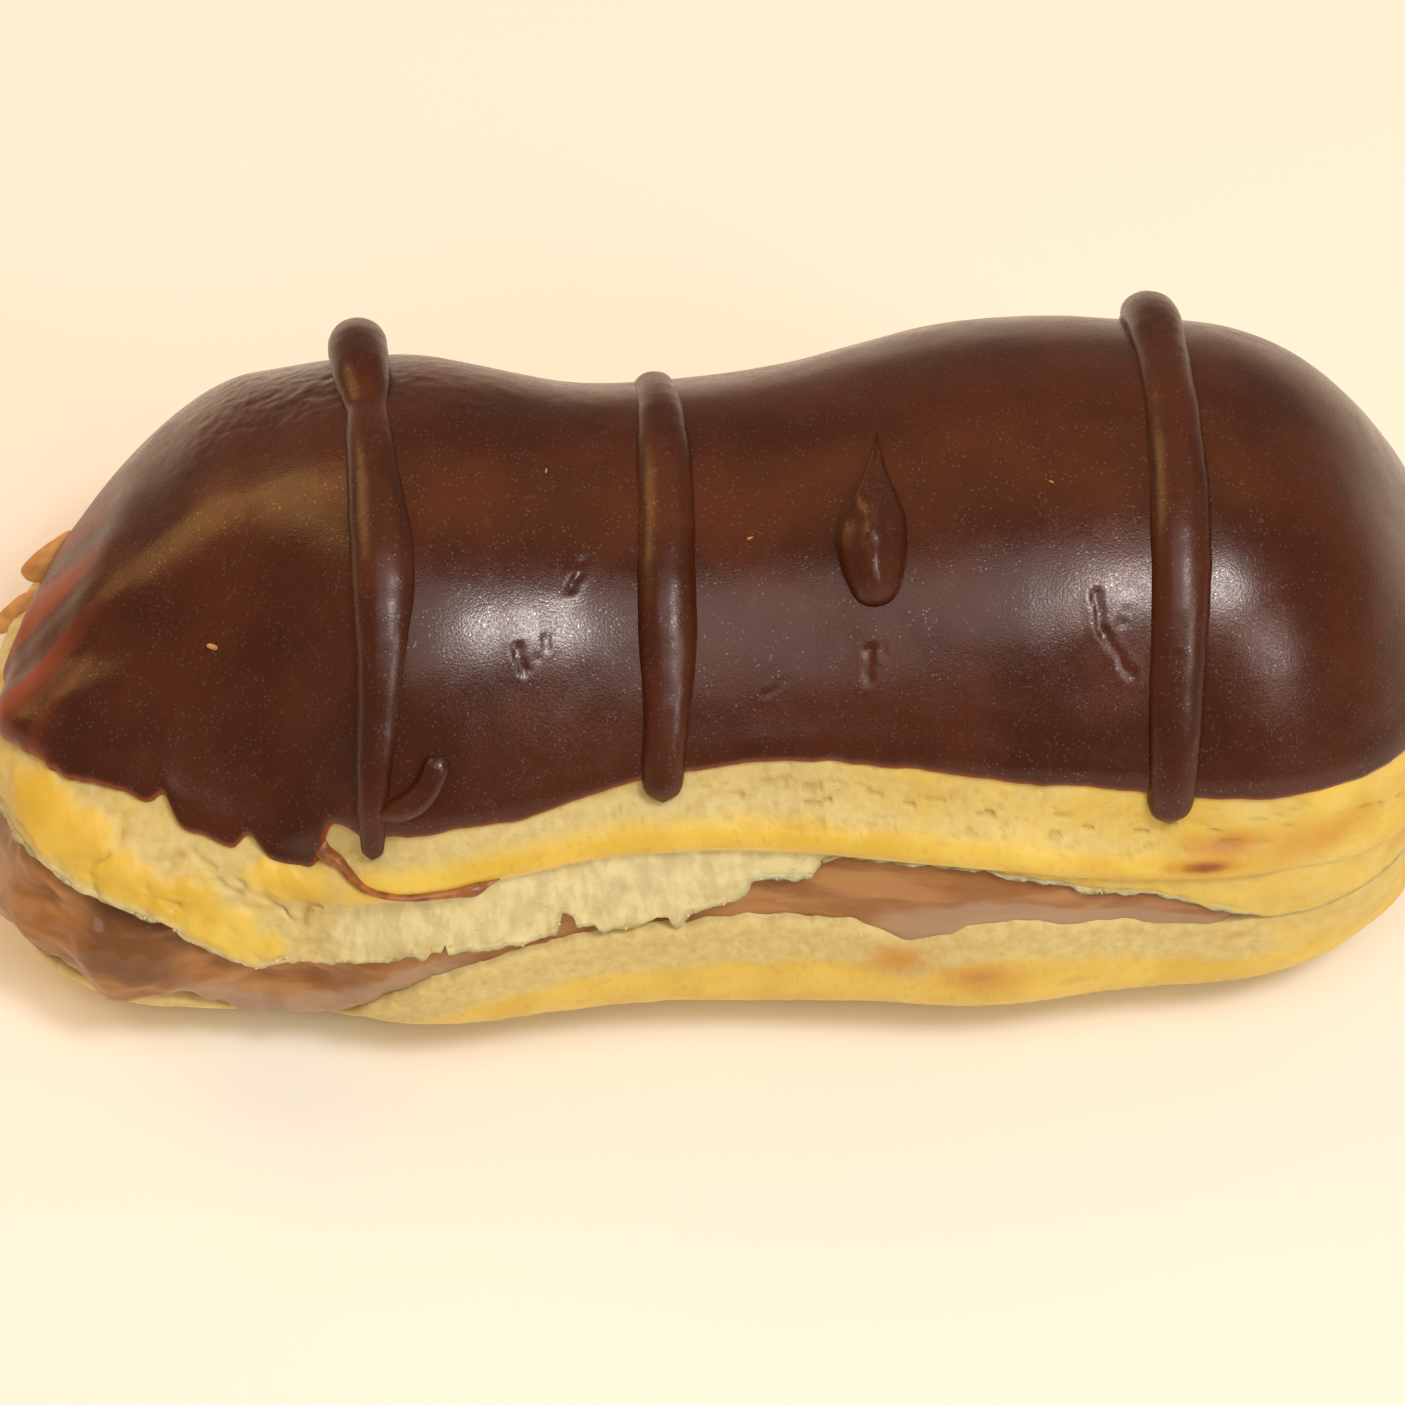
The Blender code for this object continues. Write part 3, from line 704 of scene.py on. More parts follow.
from_left = CREAM_TURNS - 4
lid = on_cream(torn_line)
floor_line = on_cream(base_line)
generous = 1 - between(from_left, 0.02, 0.24)
closing = (1 - between(from_left, 1.01, 1.078)) * between(from_left, -1.265, -1.12)
v = np.linspace(0, 1, OUTER_ROWS)[:, None]
top = lid + 0.25 * MM
bottom = floor_line - 0.45 * MM
cream_height = top * (1 - v) + bottom * v
belly = np.sin(np.pi * np.clip(v, 0.02, 1)) ** 0.6
low = between(v, 0.25, 0.75)
thick_stand = -1.9 + 1.3 * belly + 1.1 * low
thin_stand = -2.0 + 0.9 * belly + 0.6 * between(v, 0.6, 0.95)
stand = generous * thick_stand + (1 - generous) * thin_stand
cream_level = level_at(CREAM_TURNS, cream_height)
cream_place = skin(CREAM_TURNS, cream_level)
cream_normal = outward(CREAM_TURNS, cream_level)
smear = cream_place * np.array([0.35, 0.35, 1.0])
lobes = rough(cream_place, 4.5 * MM, 61, 3) * (0.15 + 0.6 * generous)
#  turn and level of each soft lobe of cream, its width and height in millimetres
BLOBS = (
    (3.815, -0.22, 2.3, 1.5), (3.70, -0.05, 2.0, 0.8), (3.62, -0.12, 2.3, 0.7),
    (3.86, 0.0, 1.4, 0.35), (3.765, -0.3, 1.5, 0.7),
)
for blob_turn, blob_level, wide, tall in BLOBS:
    spot = on_skin((blob_turn, blob_level))[0] * MM
    lobes = lobes + tall * np.exp(-((np.linalg.norm(cream_place - spot, axis=-1) / (wide * MM)) ** 2))
stand = stand + 0.8 * between(from_left, 0.5, 0.75) * closing
stand = stand - 1.6 * (1 - between(from_left, -1.265, -1.05))
stand = stand + lobes + 0.25 * rough(smear, 1.6 * MM, 67, 3) * (0.5 + 0.5 * generous)
outer = cream_place + cream_normal * (stand * MM)[..., None]
inner = []
for t in np.linspace(0, 1, INNER_ROWS):
    z = bottom * (1 - t) + top * t
    ring = skin(CREAM_TURNS, level_at(CREAM_TURNS, z))
    inner.append(ring - unit(outward(CREAM_TURNS, 0.1) * np.array([1, 1, 0])) * 6 * MM)
section = np.concatenate([outer, np.array(inner)])
taper = closing[None, :, None] * 0.97 + 0.03
middle = section.mean(axis=0, keepdims=True)
section = middle + (section - middle) * taper
section[..., 2] = np.maximum(section[..., 2], 0.8 * MM)

# Wet and glossy where it is thick under the lid at the left, and painted darker there as shade under the lid; pale and
# smeared smooth over the base.
way_round = np.broadcast_to(CREAM_TURNS, cream_height.shape)
wet = hump(way_round, 3.83, 0.07) * (1 - between(v, 0.55, 0.8))
wet = np.maximum(wet, 0.35 * between(way_round, 4.84, 4.95))
pale = between(way_round, 3.84, 3.93) * (1 - between(way_round, 4.16, 4.3)) * between(v, 0.35, 0.6)
pale = np.maximum(pale, hump(way_round, 3.58, 0.10) * (1 - between(v, 0.5, 0.75)))
pale = np.maximum(pale, between(way_round, 4.62, 4.72) * between(v, 0.45, 0.7))
pale = np.maximum(pale, 0.35 * between(way_round, 4.80, 4.86))
rows_in_section = len(section)
inner_zero = np.zeros((INNER_ROWS, len(CREAM_TURNS)))
cream_numbers = {
    name: np.concatenate([values, inner_zero]).T for name, values in (("wet", wet), ("pale", pale))
}
grid = section.transpose(1, 0, 2)
ends = [np.arange(rows_in_section), (len(grid) - 1) * rows_in_section + np.arange(rows_in_section)]
cream_faces = [grid_faces(len(grid), rows_in_section), *ends]
cream = mesh_piece("chocolate_cream", grid.reshape(-1, 3), cream_faces, cream_numbers)

# %% [markdown]
# ## The coat
# The bun's top was dipped. The chocolate ran a little down the sides and set with a rounded edge, thick
# along the front, with scallops and one long lobe at the left where it dripped. The coat is a grid from
# that edge to the crest, and a few coarse rows back under it close it. Low swells and a few scratches
# from handling go into the mesh itself.

# %% The coat's rows
RIM = 0.5 * MM
count = len(TURNS)
near_rim = np.array([0, 0.05, 0.12, 0.22, 0.35, 0.5, 0.7, 0.95, 1.25, 1.6, 2.0, 2.5, 3.1, 3.8]) * MM
fray = rough(skin(TURNS, 0.3), 3.0 * MM, 71, 3)
#  turn, how much the rim frays there
FRAY = ((0, 1), (0.2, 0.6), (0.3, 0.3), (1, 0.6), (3.4, 1.2), (3.9, 1))


def smoothed_round(line, steps):
    """A line round the bun, averaged over this many of its stations."""
    weights = np.hanning(steps) / np.hanning(steps).sum()
    return np.convolve(np.tile(line, 3), weights, mode="same")[count : 2 * count]


rim_line = smoothed_round(coat_line, 7)
rim_line = rim_line + 0.3 * MM * fray * np.interp(TURNS, *np.array(FRAY).T, period=4)
rim_level = level_at(TURNS, rim_line)
ladder = rim_level + (1 - rim_level) * np.linspace(0, 1, 60)[:, None]
steps = np.linalg.norm(np.diff(skin(TURNS, ladder), axis=0), axis=-1)
way = np.concatenate([np.zeros((1, count)), np.cumsum(steps, axis=0)])
length = way[-1]
FAR_ROWS = 84
rim_share = near_rim[:, None] / length
rest = rim_share[-1] + (1 - rim_share[-1]) * (np.arange(1, FAR_ROWS + 1) / FAR_ROWS)[:, None]
share = np.concatenate([rim_share, rest])
columns = [np.interp(share[:, i], way[:, i] / length[i], ladder[:, i]) for i in range(count)]
coat_level = np.stack(columns, axis=1)
coat_level[-1] = 1
coat_place = skin(TURNS, coat_level)
coat_normal = outward(TURNS, coat_level)
coat_normal[-1] = (0, 0, 1)
from_rim = share * length

# %% The coat's relief
def on_top(x, climb):
    """The point, in millimetres, over the bun at this x: climb 0 is the widest height in front, 1 the
    crest and 2 the widest height behind."""
    way_along = (x * MM - SPINE_LEFT) / (SPINE_RIGHT - SPINE_LEFT)
    turn = way_along if climb <= 1 else 3 - way_along
    return skin(np.array(turn), np.array(climb if climb <= 1 else 2 - climb)) / MM


#  from (x, climb), to (x, climb), width and depth in millimetres
SCRATCHES = (
    ((-8.6, 0.80), (-9.3, 0.765), 0.28, 0.22),
    ((-9.3, 0.765), (-9.6, 0.735), 0.24, 0.26),
    ((-13.3, 0.630), (-13.0, 0.585), 0.32, 0.30),
    ((-11.4, 0.650), (-11.2, 0.625), 0.24, 0.20),
    ((-12.0, 0.61), (-11.6, 0.60), 0.2, 0.12),
    ((10.9, 0.60), (10.8, 0.545), 0.30, 0.28),
    ((11.8, 0.61), (11.9, 0.585), 0.2, 0.15),
    ((26.6, 0.665), (26.9, 0.60), 0.3, 0.26),
    ((26.9, 0.60), (28.9, 0.515), 0.28, 0.24),
    ((28.6, 0.64), (28.4, 0.61), 0.2, 0.15),
    ((-7.0, 1.02), (-7.6, 0.995), 0.16, 0.14),
    ((3.6, 0.53), (5.0, 0.56), 0.2, 0.1),
)
calm = smoothed_round(rim_line, 41)
from_calm = from_rim + np.minimum(rim_line - calm, 2 * MM) * smooth_step(from_rim / (1.5 * MM))
#  height, size and seed of each order of swells, in millimetres
SWELLS = ((0.14, 12, 73), (0.032, 4.5, 79), (0.014, 2.1, 80))
swells = sum(tall * lumps(coat_place, size * MM, seed) for tall, size, seed in SWELLS)
inside_rim = np.clip(from_rim / RIM, 0, 1)
rounding = np.sqrt(np.clip(1 - (1 - inside_rim) ** 2, 0, 1))
bead = 0.15 * hump(from_calm / MM, 1.5, 1.2)
coat_lift = rounding * (0.42 - 0.36 * between(from_calm / MM, 1, 9) + bead)
coat_lift += swells * between(from_rim / MM, 0.2, 2.5)
coat_turns = np.broadcast_to(TURNS, coat_level.shape)
# The lobe at the left: a nose of chocolate that ran down and set, with a valley over it, and above
# that a fold that runs up to the crest.
LOBE = on_skin((3.572, 0.37), (3.60, 0.42), (3.66, 0.455), (3.74, 0.485), (3.83, 0.51))
VALLEY = on_skin((3.46, 0.36), (3.53, 0.46), (3.61, 0.54), (3.70, 0.60))
FOLD = on_skin((3.17, 0.50), (3.25, 0.60), (3.33, 0.645), (3.43, 0.645), (3.53, 0.60))
fading = 1 - between(coat_turns, 3.66, 3.86)
coat_lift += 0.6 * stroke_along(coat_place, LOBE, 3.0) * fading
coat_lift -= 0.38 * stroke_along(coat_place, VALLEY, 2.2)
coat_lift += 0.16 * stroke_along(coat_place, FOLD, 2.2)
coat_lift += hump(coat_turns, 3.60, 0.10) * 0.3 * hump(from_calm / MM, 1.8, 1.3)
scuffed = hump(coat_turns, 2.95, 0.22) * between(coat_level, 0.45, 0.6)
scuffed = scuffed * (1 - between(coat_level, 0.85, 0.95))
# Under the right stripe it is fullest, so it lies flat up to the stripe and falls away after it.
coat_lift += 0.45 * hump(coat_place[..., 0] / MM, 33, 7) * between(coat_level, 0.3, 0.7)
coat_lift += scuffed * 0.07 * rough(coat_place, 0.9 * MM, 87, 2)
bent = coat_place + np.stack([lumps(coat_place, 0.9 * MM, s) for s in (89, 91, 93)], axis=-1) * 0.32 * MM
for start, end, wide, deep in SCRATCHES:
    stroke = (on_top(*start), on_top(*end))
    coat_lift -= 0.8 * deep * near_line(bent, stroke, wide)
    coat_lift += 0.25 * deep * near_line(bent, stroke, wide * 2.2)

run_down = np.stack([coat_turns * 50 * MM, np.zeros_like(coat_level), coat_level * 3 * MM], axis=-1)
thin_left = hump(coat_turns, 3.45, 0.18) * hump(coat_level, 0.40, 0.24)
streaks = lumps(run_down, 2.3 * MM, 83)
coat_lift += thin_left * 0.16 * streaks
thin = 0.9 * np.exp(-from_rim / (0.36 * MM)) + thin_left * np.clip(0.7 + 0.9 * streaks, 0.3, 1)

coat_points = coat_place + coat_normal * (coat_lift * MM)[..., None]
UNDER_SHARES = (0.0, 0.015, 0.06, 0.2, 0.5, 1.0)
under_points = []
for s in UNDER_SHARES:
    under_level = rim_level + (1 - rim_level) * s
    sink = -0.12 - (COAT_THICK / MM - 0.35) * smooth_step(s / 0.15)
    ring_normal = outward(TURNS, under_level) if s < 1 else np.array([0, 0, 1.0])
    under_points.append(skin(TURNS, under_level) + ring_normal * sink * MM)
whole = np.concatenate([np.array(under_points)[::-1], coat_points])
thin_all = np.concatenate([np.ones((len(UNDER_SHARES), count)), np.clip(thin, 0, 1)])
coat_faces = [grid_faces(len(whole), count)]
coat = mesh_piece("chocolate_coat", whole.reshape(-1, 3), coat_faces, {"thin": thin_all})

# %% [markdown]
# ## Shader maths in Python
# A finish is a formula: this much of one colour where that mask is high. Written as nodes, formulas are
# hard to read, so a small class wraps a socket and gives it Python's operators. An expression then adds
# its own Math nodes. A Finish holds a material and adds any other kind of node by one method.

# %% Sockets with operators
class Value:
    """A number that varies over a surface. Arithmetic on it adds Math nodes."""

    def __init__(self, finish, socket):
        self.finish, self.socket = finish, socket

    def _maths(self, operation, *values):
        return self.finish.node("ShaderNodeMath", {"operation": operation}, dict(enumerate(values)))

    def __add__(self, other):
        return self._maths("ADD", self, other)

    def __sub__(self, other):
        return self._maths("SUBTRACT", self, other)

    def __rsub__(self, other):
        return self._maths("SUBTRACT", other, self)

    def __mul__(self, other):
        return self._maths("MULTIPLY", self, other)

    def __truediv__(self, other):
        return self._maths("DIVIDE", self, other)

    def __pow__(self, other):
        return self._maths("POWER", self, other)

    def __neg__(self):
        return self._maths("MULTIPLY", self, -1.0)

    __radd__, __rmul__ = __add__, __mul__

    def most(self, other):
        return self._maths("MAXIMUM", self, other)

    def spread(self, low, high, to_low=0.0, to_high=1.0):
        """Low to high stretched smoothly to a new range, and held beyond its ends."""
        return self.finish.node(
            "ShaderNodeMapRange", {"interpolation_type": "SMOOTHSTEP"},
            {"Value": self, "From Min": low, "From Max": high, "To Min": to_low, "To Max": to_high},
        )


class Finish:
    """A material made of a Principled shader and the nodes that feed it."""

    def __init__(self, name, **settings):
        self.material = bpy.data.materials.new(name)
        self.material.use_nodes = True
        self.tree = self.material.node_tree
        self.shader = self.tree.nodes["Principled BSDF"]
        for socket, value in settings.items():
            self.shader.inputs[socket.replace("_", " ")].default_value = value

    def node(self, kind, settings=None, sockets=None, out=0):
        """Adds a node: its settings first, then the values or links of its sockets."""
        made = self.tree.nodes.new(kind)
        for key, value in (settings or {}).items():
            if key == "stops":
                ramp = made.color_ramp.elements
                while len(ramp) < len(value):
                    ramp.new(0.5)
                for element, (place, colour) in zip(ramp, value):
                    element.position = place
                    element.color = (*colour, 1)
            else:
                setattr(made, key, value)
        for key, value in (sockets or {}).items():
            self.feed(made.inputs[key], value)
        return Value(self, made.outputs[out])

    def feed(self, socket, value):
        if isinstance(value, Value):
            self.tree.links.new(value.socket, socket)
        elif isinstance(value, tuple) and len(value) == 3 and socket.type == "RGBA":
            socket.default_value = (*value, 1)
        else:
            socket.default_value = value

    def mix(self, share, first, second):
        """One colour turning into another."""
        return self.node("ShaderNodeMix", {"data_type": "RGBA"}, {0: share, 6: first, 7: second}, out=2)

    def attribute(self, name):
        return self.node("ShaderNodeAttribute", {"attribute_name": name}, out=2)

    def places(self, stretch=(1, 1, 1)):
        """Object coordinates in millimetres, stretched."""
        where = self.node("ShaderNodeTexCoord", out=3)
        sizes = tuple(1000 * s for s in stretch)
        return self.node("ShaderNodeVectorMath", {"operation": "MULTIPLY"}, {0: where, 1: sizes})

    def noise(self, size, detail=3.0, stretch=(1, 1, 1), roughness=0.5):
        """Noise from 0 to 1 whose lumps are this many millimetres across."""
        sockets = {"Vector": self.places(stretch), "Scale": 1 / size}
        sockets.update({"Detail": detail, "Roughness": roughness})
        return self.node("ShaderNodeTexNoise", {"noise_dimensions": "3D"}, sockets)

    def cells(self, size, feature="F1", stretch=(1, 1, 1)):
        sockets = {"Vector": self.places(stretch), "Scale": 1 / size}
        return self.node("ShaderNodeTexVoronoi", {"feature": feature}, sockets)

    def bump(self, height, distance, strength=1.0, over=None):
        """A bump of this many millimetres, on top of another one."""
        sockets = {"Height": height, "Distance": distance * MM, "Strength": strength}
        if over:
            sockets["Normal"] = over
        return self.node("ShaderNodeBump", None, sockets)

    def wear(self, **looks):
        """Feeds the shader's own sockets."""
        for socket, value in looks.items():
            self.feed(self.shader.inputs[socket.replace("_", " ")], value)
        return self.material


def shown(red, green, blue):
    """A colour as a screen shows it, from 0 to 255, as the light it stands for."""
    parts = (red / 255, green / 255, blue / 255)
    return tuple(c / 12.92 if c <= 0.04045 else ((c + 0.055) / 1.055) ** 2.4 for c in parts)


def lit_through(amount, depth, colour):
    """Settings for light that passes under a surface: its amount, its millimetres and its colour."""
    return {"Subsurface_Weight": amount, "Subsurface_Scale": depth * MM, "Subsurface_Radius": colour}


# %% [markdown]
# ## Finishes
# Pastry: gold over pale straw, with pores as fine as the crumb, painted darker as shade, a painted
# highlight along the ridge's lower edge, a little light passing under the surface, and no gloss but a
# faint glaze on the ridge. Chocolate: very dark, satin, with a fine grain, patches of tiny glittering
# flecks of sugar and fat, and redder where it is thin over the pastry. Cream: milk chocolate with
# lighter smears, painted darker as shade under the lid at the left. Flakes, crumbs and the thin drip
# have two tones and a grain.

# %% Pastry
def pastry_finish():
    finish = Finish("baked_choux", **lit_through(0.12, 1.2, (1.0, 0.6, 0.25)))
    golden, crumb, brown, pitted = (finish.attribute(n) for n in ("golden", "crumb", "brown", "pitted"))
    patches = finish.noise(5.0, 3.0)
    grain = finish.noise(0.9, 4.0)
    flecks = finish.noise(2.2, 3.0)
    fibres = finish.noise(1.0, 4.0, (1.0, 1.0, 0.35))
    straw = finish.mix(grain.spread(0.3, 0.7), shown(207, 182, 112), shown(219, 198, 132))
    gold = finish.mix(patches.spread(0.35, 0.65), shown(220, 182, 62), shown(232, 198, 84))
    crust = finish.mix((golden + (flecks - 0.5) * 0.5).spread(0.1, 0.85), straw, gold)
    torn = finish.mix(fibres.spread(0.4, 0.62), shown(228, 214, 158), shown(212, 196, 140))
    torn = finish.mix(finish.noise(3.4, 3.0).spread(0.56, 0.70) * 0.4, torn, shown(200, 184, 144))
    # The crumb mask holds the torn crumb, and also the painted highlight along the ridge's lower edge.
    colour = finish.mix(crumb.spread(0.15, 0.7), crust, torn)
    toasted = finish.mix(brown.spread(0.6, 1.0), shown(206, 148, 54), shown(150, 84, 36))
    colour = finish.mix(((brown + (flecks - 0.5) * 0.35) * 1.1).spread(0.08, 0.85), colour, toasted)
    pores = finish.cells(0.5, stretch=(0.6, 0.6, 1.4)).spread(0.10, 0.36)
    few = finish.noise(3.0, 2.0).spread(0.54, 0.66)
    pit_and_shade = ((1 - pores) * few * (1 - golden * 0.9) * 0.6).most(pitted)
    # Pores and cracks are painted darker: painted shade in the hollows, which the bump below also cuts in.
    colour = finish.mix(pit_and_shade * 0.4, colour, shown(176, 136, 60))
    rough_part = finish.noise(0.45, 4.0)
    relief = finish.bump(rough_part, 0.06, 0.8)
    relief = finish.bump(1 - pit_and_shade, 0.06, 0.8, relief)
    roughness = (0.60 - golden * 0.14 + crumb * 0.15).spread(0.0, 1.0)
    return finish.wear(Base_Color=colour, Roughness=roughness, Normal=relief)


# %% Chocolate
def chocolate_finish(name, thin_edge, grain_depth, base_roughness):
    gloss = {"IOR": 1.46, "Specular_Tint": (1.0, 0.92, 0.88, 1)}
    finish = Finish(name, **gloss, **lit_through(0.03, 0.6, (1.0, 0.4, 0.2)))
    cloud = finish.noise(8.0, 3.0)
    bloom = finish.noise(1.6, 4.0)
    dark = finish.mix(cloud.spread(0.35, 0.65), shown(61, 22, 4), shown(74, 30, 8))
    dark = finish.mix(bloom.spread(0.66, 0.76) * 0.2, dark, shown(100, 58, 40))
    patches = finish.noise(1.3, 3.0).spread(0.42, 0.60)
    glitter = (1 - finish.cells(0.34).spread(0.14, 0.28)) * patches
    if thin_edge:
        thin = finish.attribute("thin")
        dark = finish.mix(thin.spread(0.12, 0.8), dark, shown(142, 60, 22))
    dark = finish.mix(glitter * 0.9, dark, shown(110, 99, 94))
    grain = finish.noise(0.16, 2.0)
    relief = finish.bump(grain, grain_depth, 1.0)
    roughness = base_roughness + (cloud - 0.5) * 0.15 + (bloom - 0.5) * 0.2 + (grain - 0.5) * 0.4
    roughness = roughness + (thin * 0.22 if thin_edge else 0)
    return finish.wear(Base_Color=dark, Roughness=roughness, Metallic=glitter * 0.8, Normal=relief)


# %% Cream
def cream_finish():
    finish = Finish("milk_chocolate_cream", **lit_through(0.15, 1.2, (1.0, 0.55, 0.3)))
    wet, pale = finish.attribute("wet"), finish.attribute("pale")
    smears = finish.noise(2.4, 4.0, (0.3, 0.3, 1.4))
    body = finish.mix(smears.spread(0.38, 0.62), shown(150, 97, 47), shown(177, 126, 73))
    fat = finish.noise(0.8, 3.0, (0.4, 0.4, 1.0))
    body = finish.mix(fat.spread(0.62, 0.75) * 0.5, body, shown(176, 140, 100))
    body = finish.mix((pale + (smears - 0.5) * 0.6).spread(0.2, 0.9) * 0.75, body, shown(172, 142, 114))
    # Painted shade: darker where the cream lies under the lid. The lower roughness there is real wetness.
    body = finish.mix((wet + (smears - 0.5) * 0.6).spread(0.2, 0.8) * 0.8, body, shown(108, 64, 34))
    relief = finish.bump(smears, 0.16, 0.8)
    relief = finish.bump(fat, 0.10, 0.7, relief)
    roughness = 0.38 + (fat - 0.5) * 0.3 - wet * 0.2 + pale * 0.08
    return finish.wear(Base_Color=body, Roughness=roughness, Normal=relief)


# %% Small pieces
def two_tone_finish(name, through, size, first, second, roughness, grain=None):
    """Two colours in soft patches of this size, and fine grain of its own size if there is one."""
    finish = Finish(name, **lit_through(*through))
    tone = finish.noise(size, 3.0)
    colour = finish.mix(tone.spread(0.35, 0.65), shown(*first), shown(*second))
    if grain:
        finish.wear(Normal=finish.bump(finish.noise(grain), 0.06))
    return finish.wear(Base_Color=colour, Roughness=roughness + (tone - 0.5) * 0.2)


# %% Every finish, made once
WARM = (1.0, 0.6, 0.3)
flaked_crust = two_tone_finish(
    "flaked_crust", (0.2, 1.0, WARM), 1.4, (186, 130, 66), (206, 154, 88), 0.55, grain=0.4
)
loose_crumb = two_tone_finish(
    "loose_crumb", (0.12, 1.0, WARM), 1.2, (214, 178, 98), (236, 214, 146), 0.7, grain=0.3
)
# This chocolate is so thin that the pastry warms it.
thin_chocolate = two_tone_finish(
    "thin_chocolate", (0.2, 0.6, (1.0, 0.4, 0.2)), 1.2, (128, 72, 34), (170, 108, 54), 0.35
)
baked_choux = pastry_finish()
coat_chocolate = chocolate_finish("coat_chocolate", True, 0.014, 0.24)
piped_chocolate = chocolate_finish("piped_chocolate", False, 0.012, 0.31)
milk_cream = cream_finish()
for piece, material in ((choux, baked_choux), (coat, coat_chocolate), (cream, milk_cream)):
    piece.data.materials.append(material)
print("finishes:", [m.name for m in bpy.data.materials])

# %% [markdown]
# ## Piping
# A stripe is a bead of chocolate laid along a path: the path is a curve, and Geometry Nodes turns it
# into a bead. One tree makes every bead: it resamples the path, sweeps a flattened circle along it with
# the path's own radius, caps its ends and roughens it a little. Its sizes are inputs, so the stripes,
# the thin drip along the pastry and the curl at a stripe's foot are the same tree with other numbers.

# %% The bead tree
def new_tree(name, inputs):
    """A geometry tree with one geometry input and output and these named inputs."""
    tree = bpy.data.node_groups.new(name, "GeometryNodeTree")
    tree.interface.new_socket("Geometry", in_out="INPUT", socket_type="NodeSocketGeometry")
    for label, (kind, value) in inputs.items():
        socket = tree.interface.new_socket(label, in_out="INPUT", socket_type="NodeSocket" + kind)
        if value is not None:
            socket.default_value = value
    tree.interface.new_socket("Geometry", in_out="OUTPUT", socket_type="NodeSocketGeometry")
    return tree, tree.nodes.new("NodeGroupInput").outputs


def add_node(tree, kind, settings=None, sockets=None):
    """A node with its settings, and its sockets fed by values or by other nodes' sockets."""
    made = tree.nodes.new(kind)
    for key, value in (settings or {}).items():
        setattr(made, key, value)
    for key, value in (sockets or {}).items():
        if isinstance(value, bpy.types.NodeSocket):
            tree.links.new(value, made.inputs[key])
        else:
            made.inputs[key].default_value = value
    return made.outputs


def end_tree(tree, geometry, material):
    """Gives the geometry its material and makes it the tree's output."""
    made = add_node(tree, "GeometryNodeSetMaterial", None, {"Geometry": geometry, "Material": material})
    end = tree.nodes.new("NodeGroupOutput")
    tree.links.new(made["Geometry"], end.inputs["Geometry"])
    return tree


def bead_tree():
    tree, given = new_tree("piped_bead", {
        "Width": ("Float", 2 * MM), "Height": ("Float", 1.6 * MM), "Step": ("Float", 0.3 * MM),
        "Lumps": ("Float", 0.1 * MM), "Lump size": ("Float", 3 * MM), "Seed": ("Float", 0.0),
        "Chocolate": ("Material", None),
    })
    path = add_node(tree, "GeometryNodeResampleCurve", {"mode": "LENGTH"}, {
        "Curve": given["Geometry"], "Length": given["Step"]})
    ring = add_node(tree, "GeometryNodeCurvePrimitiveCircle", {"mode": "RADIUS"}, {
        "Resolution": 28, "Radius": 1.0})
    size = add_node(tree, "ShaderNodeCombineXYZ", None, {
        "X": given["Width"], "Y": given["Height"], "Z": 1.0})
    ring = add_node(tree, "GeometryNodeTransform", None, {
        "Geometry": ring["Curve"], "Scale": size["Vector"]})
    thickness = add_node(tree, "GeometryNodeInputRadius")
    bead = add_node(tree, "GeometryNodeCurveToMesh", None, {
        "Curve": path["Curve"], "Profile Curve": ring["Geometry"],
        "Scale": thickness["Radius"], "Fill Caps": True})
    grain = add_node(tree, "ShaderNodeMath", {"operation": "DIVIDE"}, {0: 1.0, 1: given["Lump size"]})
    noise = add_node(tree, "ShaderNodeTexNoise", {"noise_dimensions": "4D"}, {
        "Scale": grain[0], "W": given["Seed"], "Detail": 2.0})
    centred = add_node(tree, "ShaderNodeMath", {"operation": "SUBTRACT"}, {0: noise[0], 1: 0.5})
    amount = add_node(tree, "ShaderNodeMath", {"operation": "MULTIPLY"}, {0: centred[0], 1: given["Lumps"]})
    outwards = add_node(tree, "GeometryNodeInputNormal")
    push = add_node(tree, "ShaderNodeVectorMath", {"operation": "SCALE"}, {
        0: outwards[0], "Scale": amount[0]})
    moved = add_node(tree, "GeometryNodeSetPosition", None, {"Geometry": bead["Mesh"], "Offset": push[0]})
    shaded = add_node(tree, "GeometryNodeSetShadeSmooth", None, {"Geometry": moved["Geometry"]})
    real = add_node(tree, "GeometryNodeRealizeInstances", None, {"Geometry": shaded["Geometry"]})
    return end_tree(tree, real["Geometry"], given["Chocolate"])


def grow(name, source, tree, settings):
    """Runs a tree on a source object and keeps the result as a plain mesh object."""
    maker = source.modifiers.new("grow", "NODES")
    maker.node_group = tree
    for item in tree.interface.items_tree:
        if item.item_type == "SOCKET" and item.in_out == "INPUT" and item.name in settings:
            maker[item.identifier] = settings[item.name]
    bpy.context.view_layer.update()
    graph = bpy.context.evaluated_depsgraph_get()
    mesh = bpy.data.meshes.new_from_object(source.evaluated_get(graph), depsgraph=graph)
    bpy.data.objects.remove(source)
    mesh.name = name
    tidy_mesh(mesh)
    print(f"{name}: {len(mesh.polygons)} faces")
    return put(name, mesh)


def path_object(points, radii):
    """A curve object through points, whose radius at each is a share of the bead's size."""
    curve = bpy.data.curves.new("path", "CURVE")
    curve.dimensions = "3D"
    curve.twist_mode = "Z_UP"
    line = curve.splines.new("POLY")
    line.points.add(len(points) - 1)
    places = np.column_stack([points, np.ones(len(points))])
    line.points.foreach_set("co", places.astype(np.float32).ravel())
    line.points.foreach_set("radius", np.asarray(radii, np.float32))
    return put("path", curve)


beads = bead_tree()

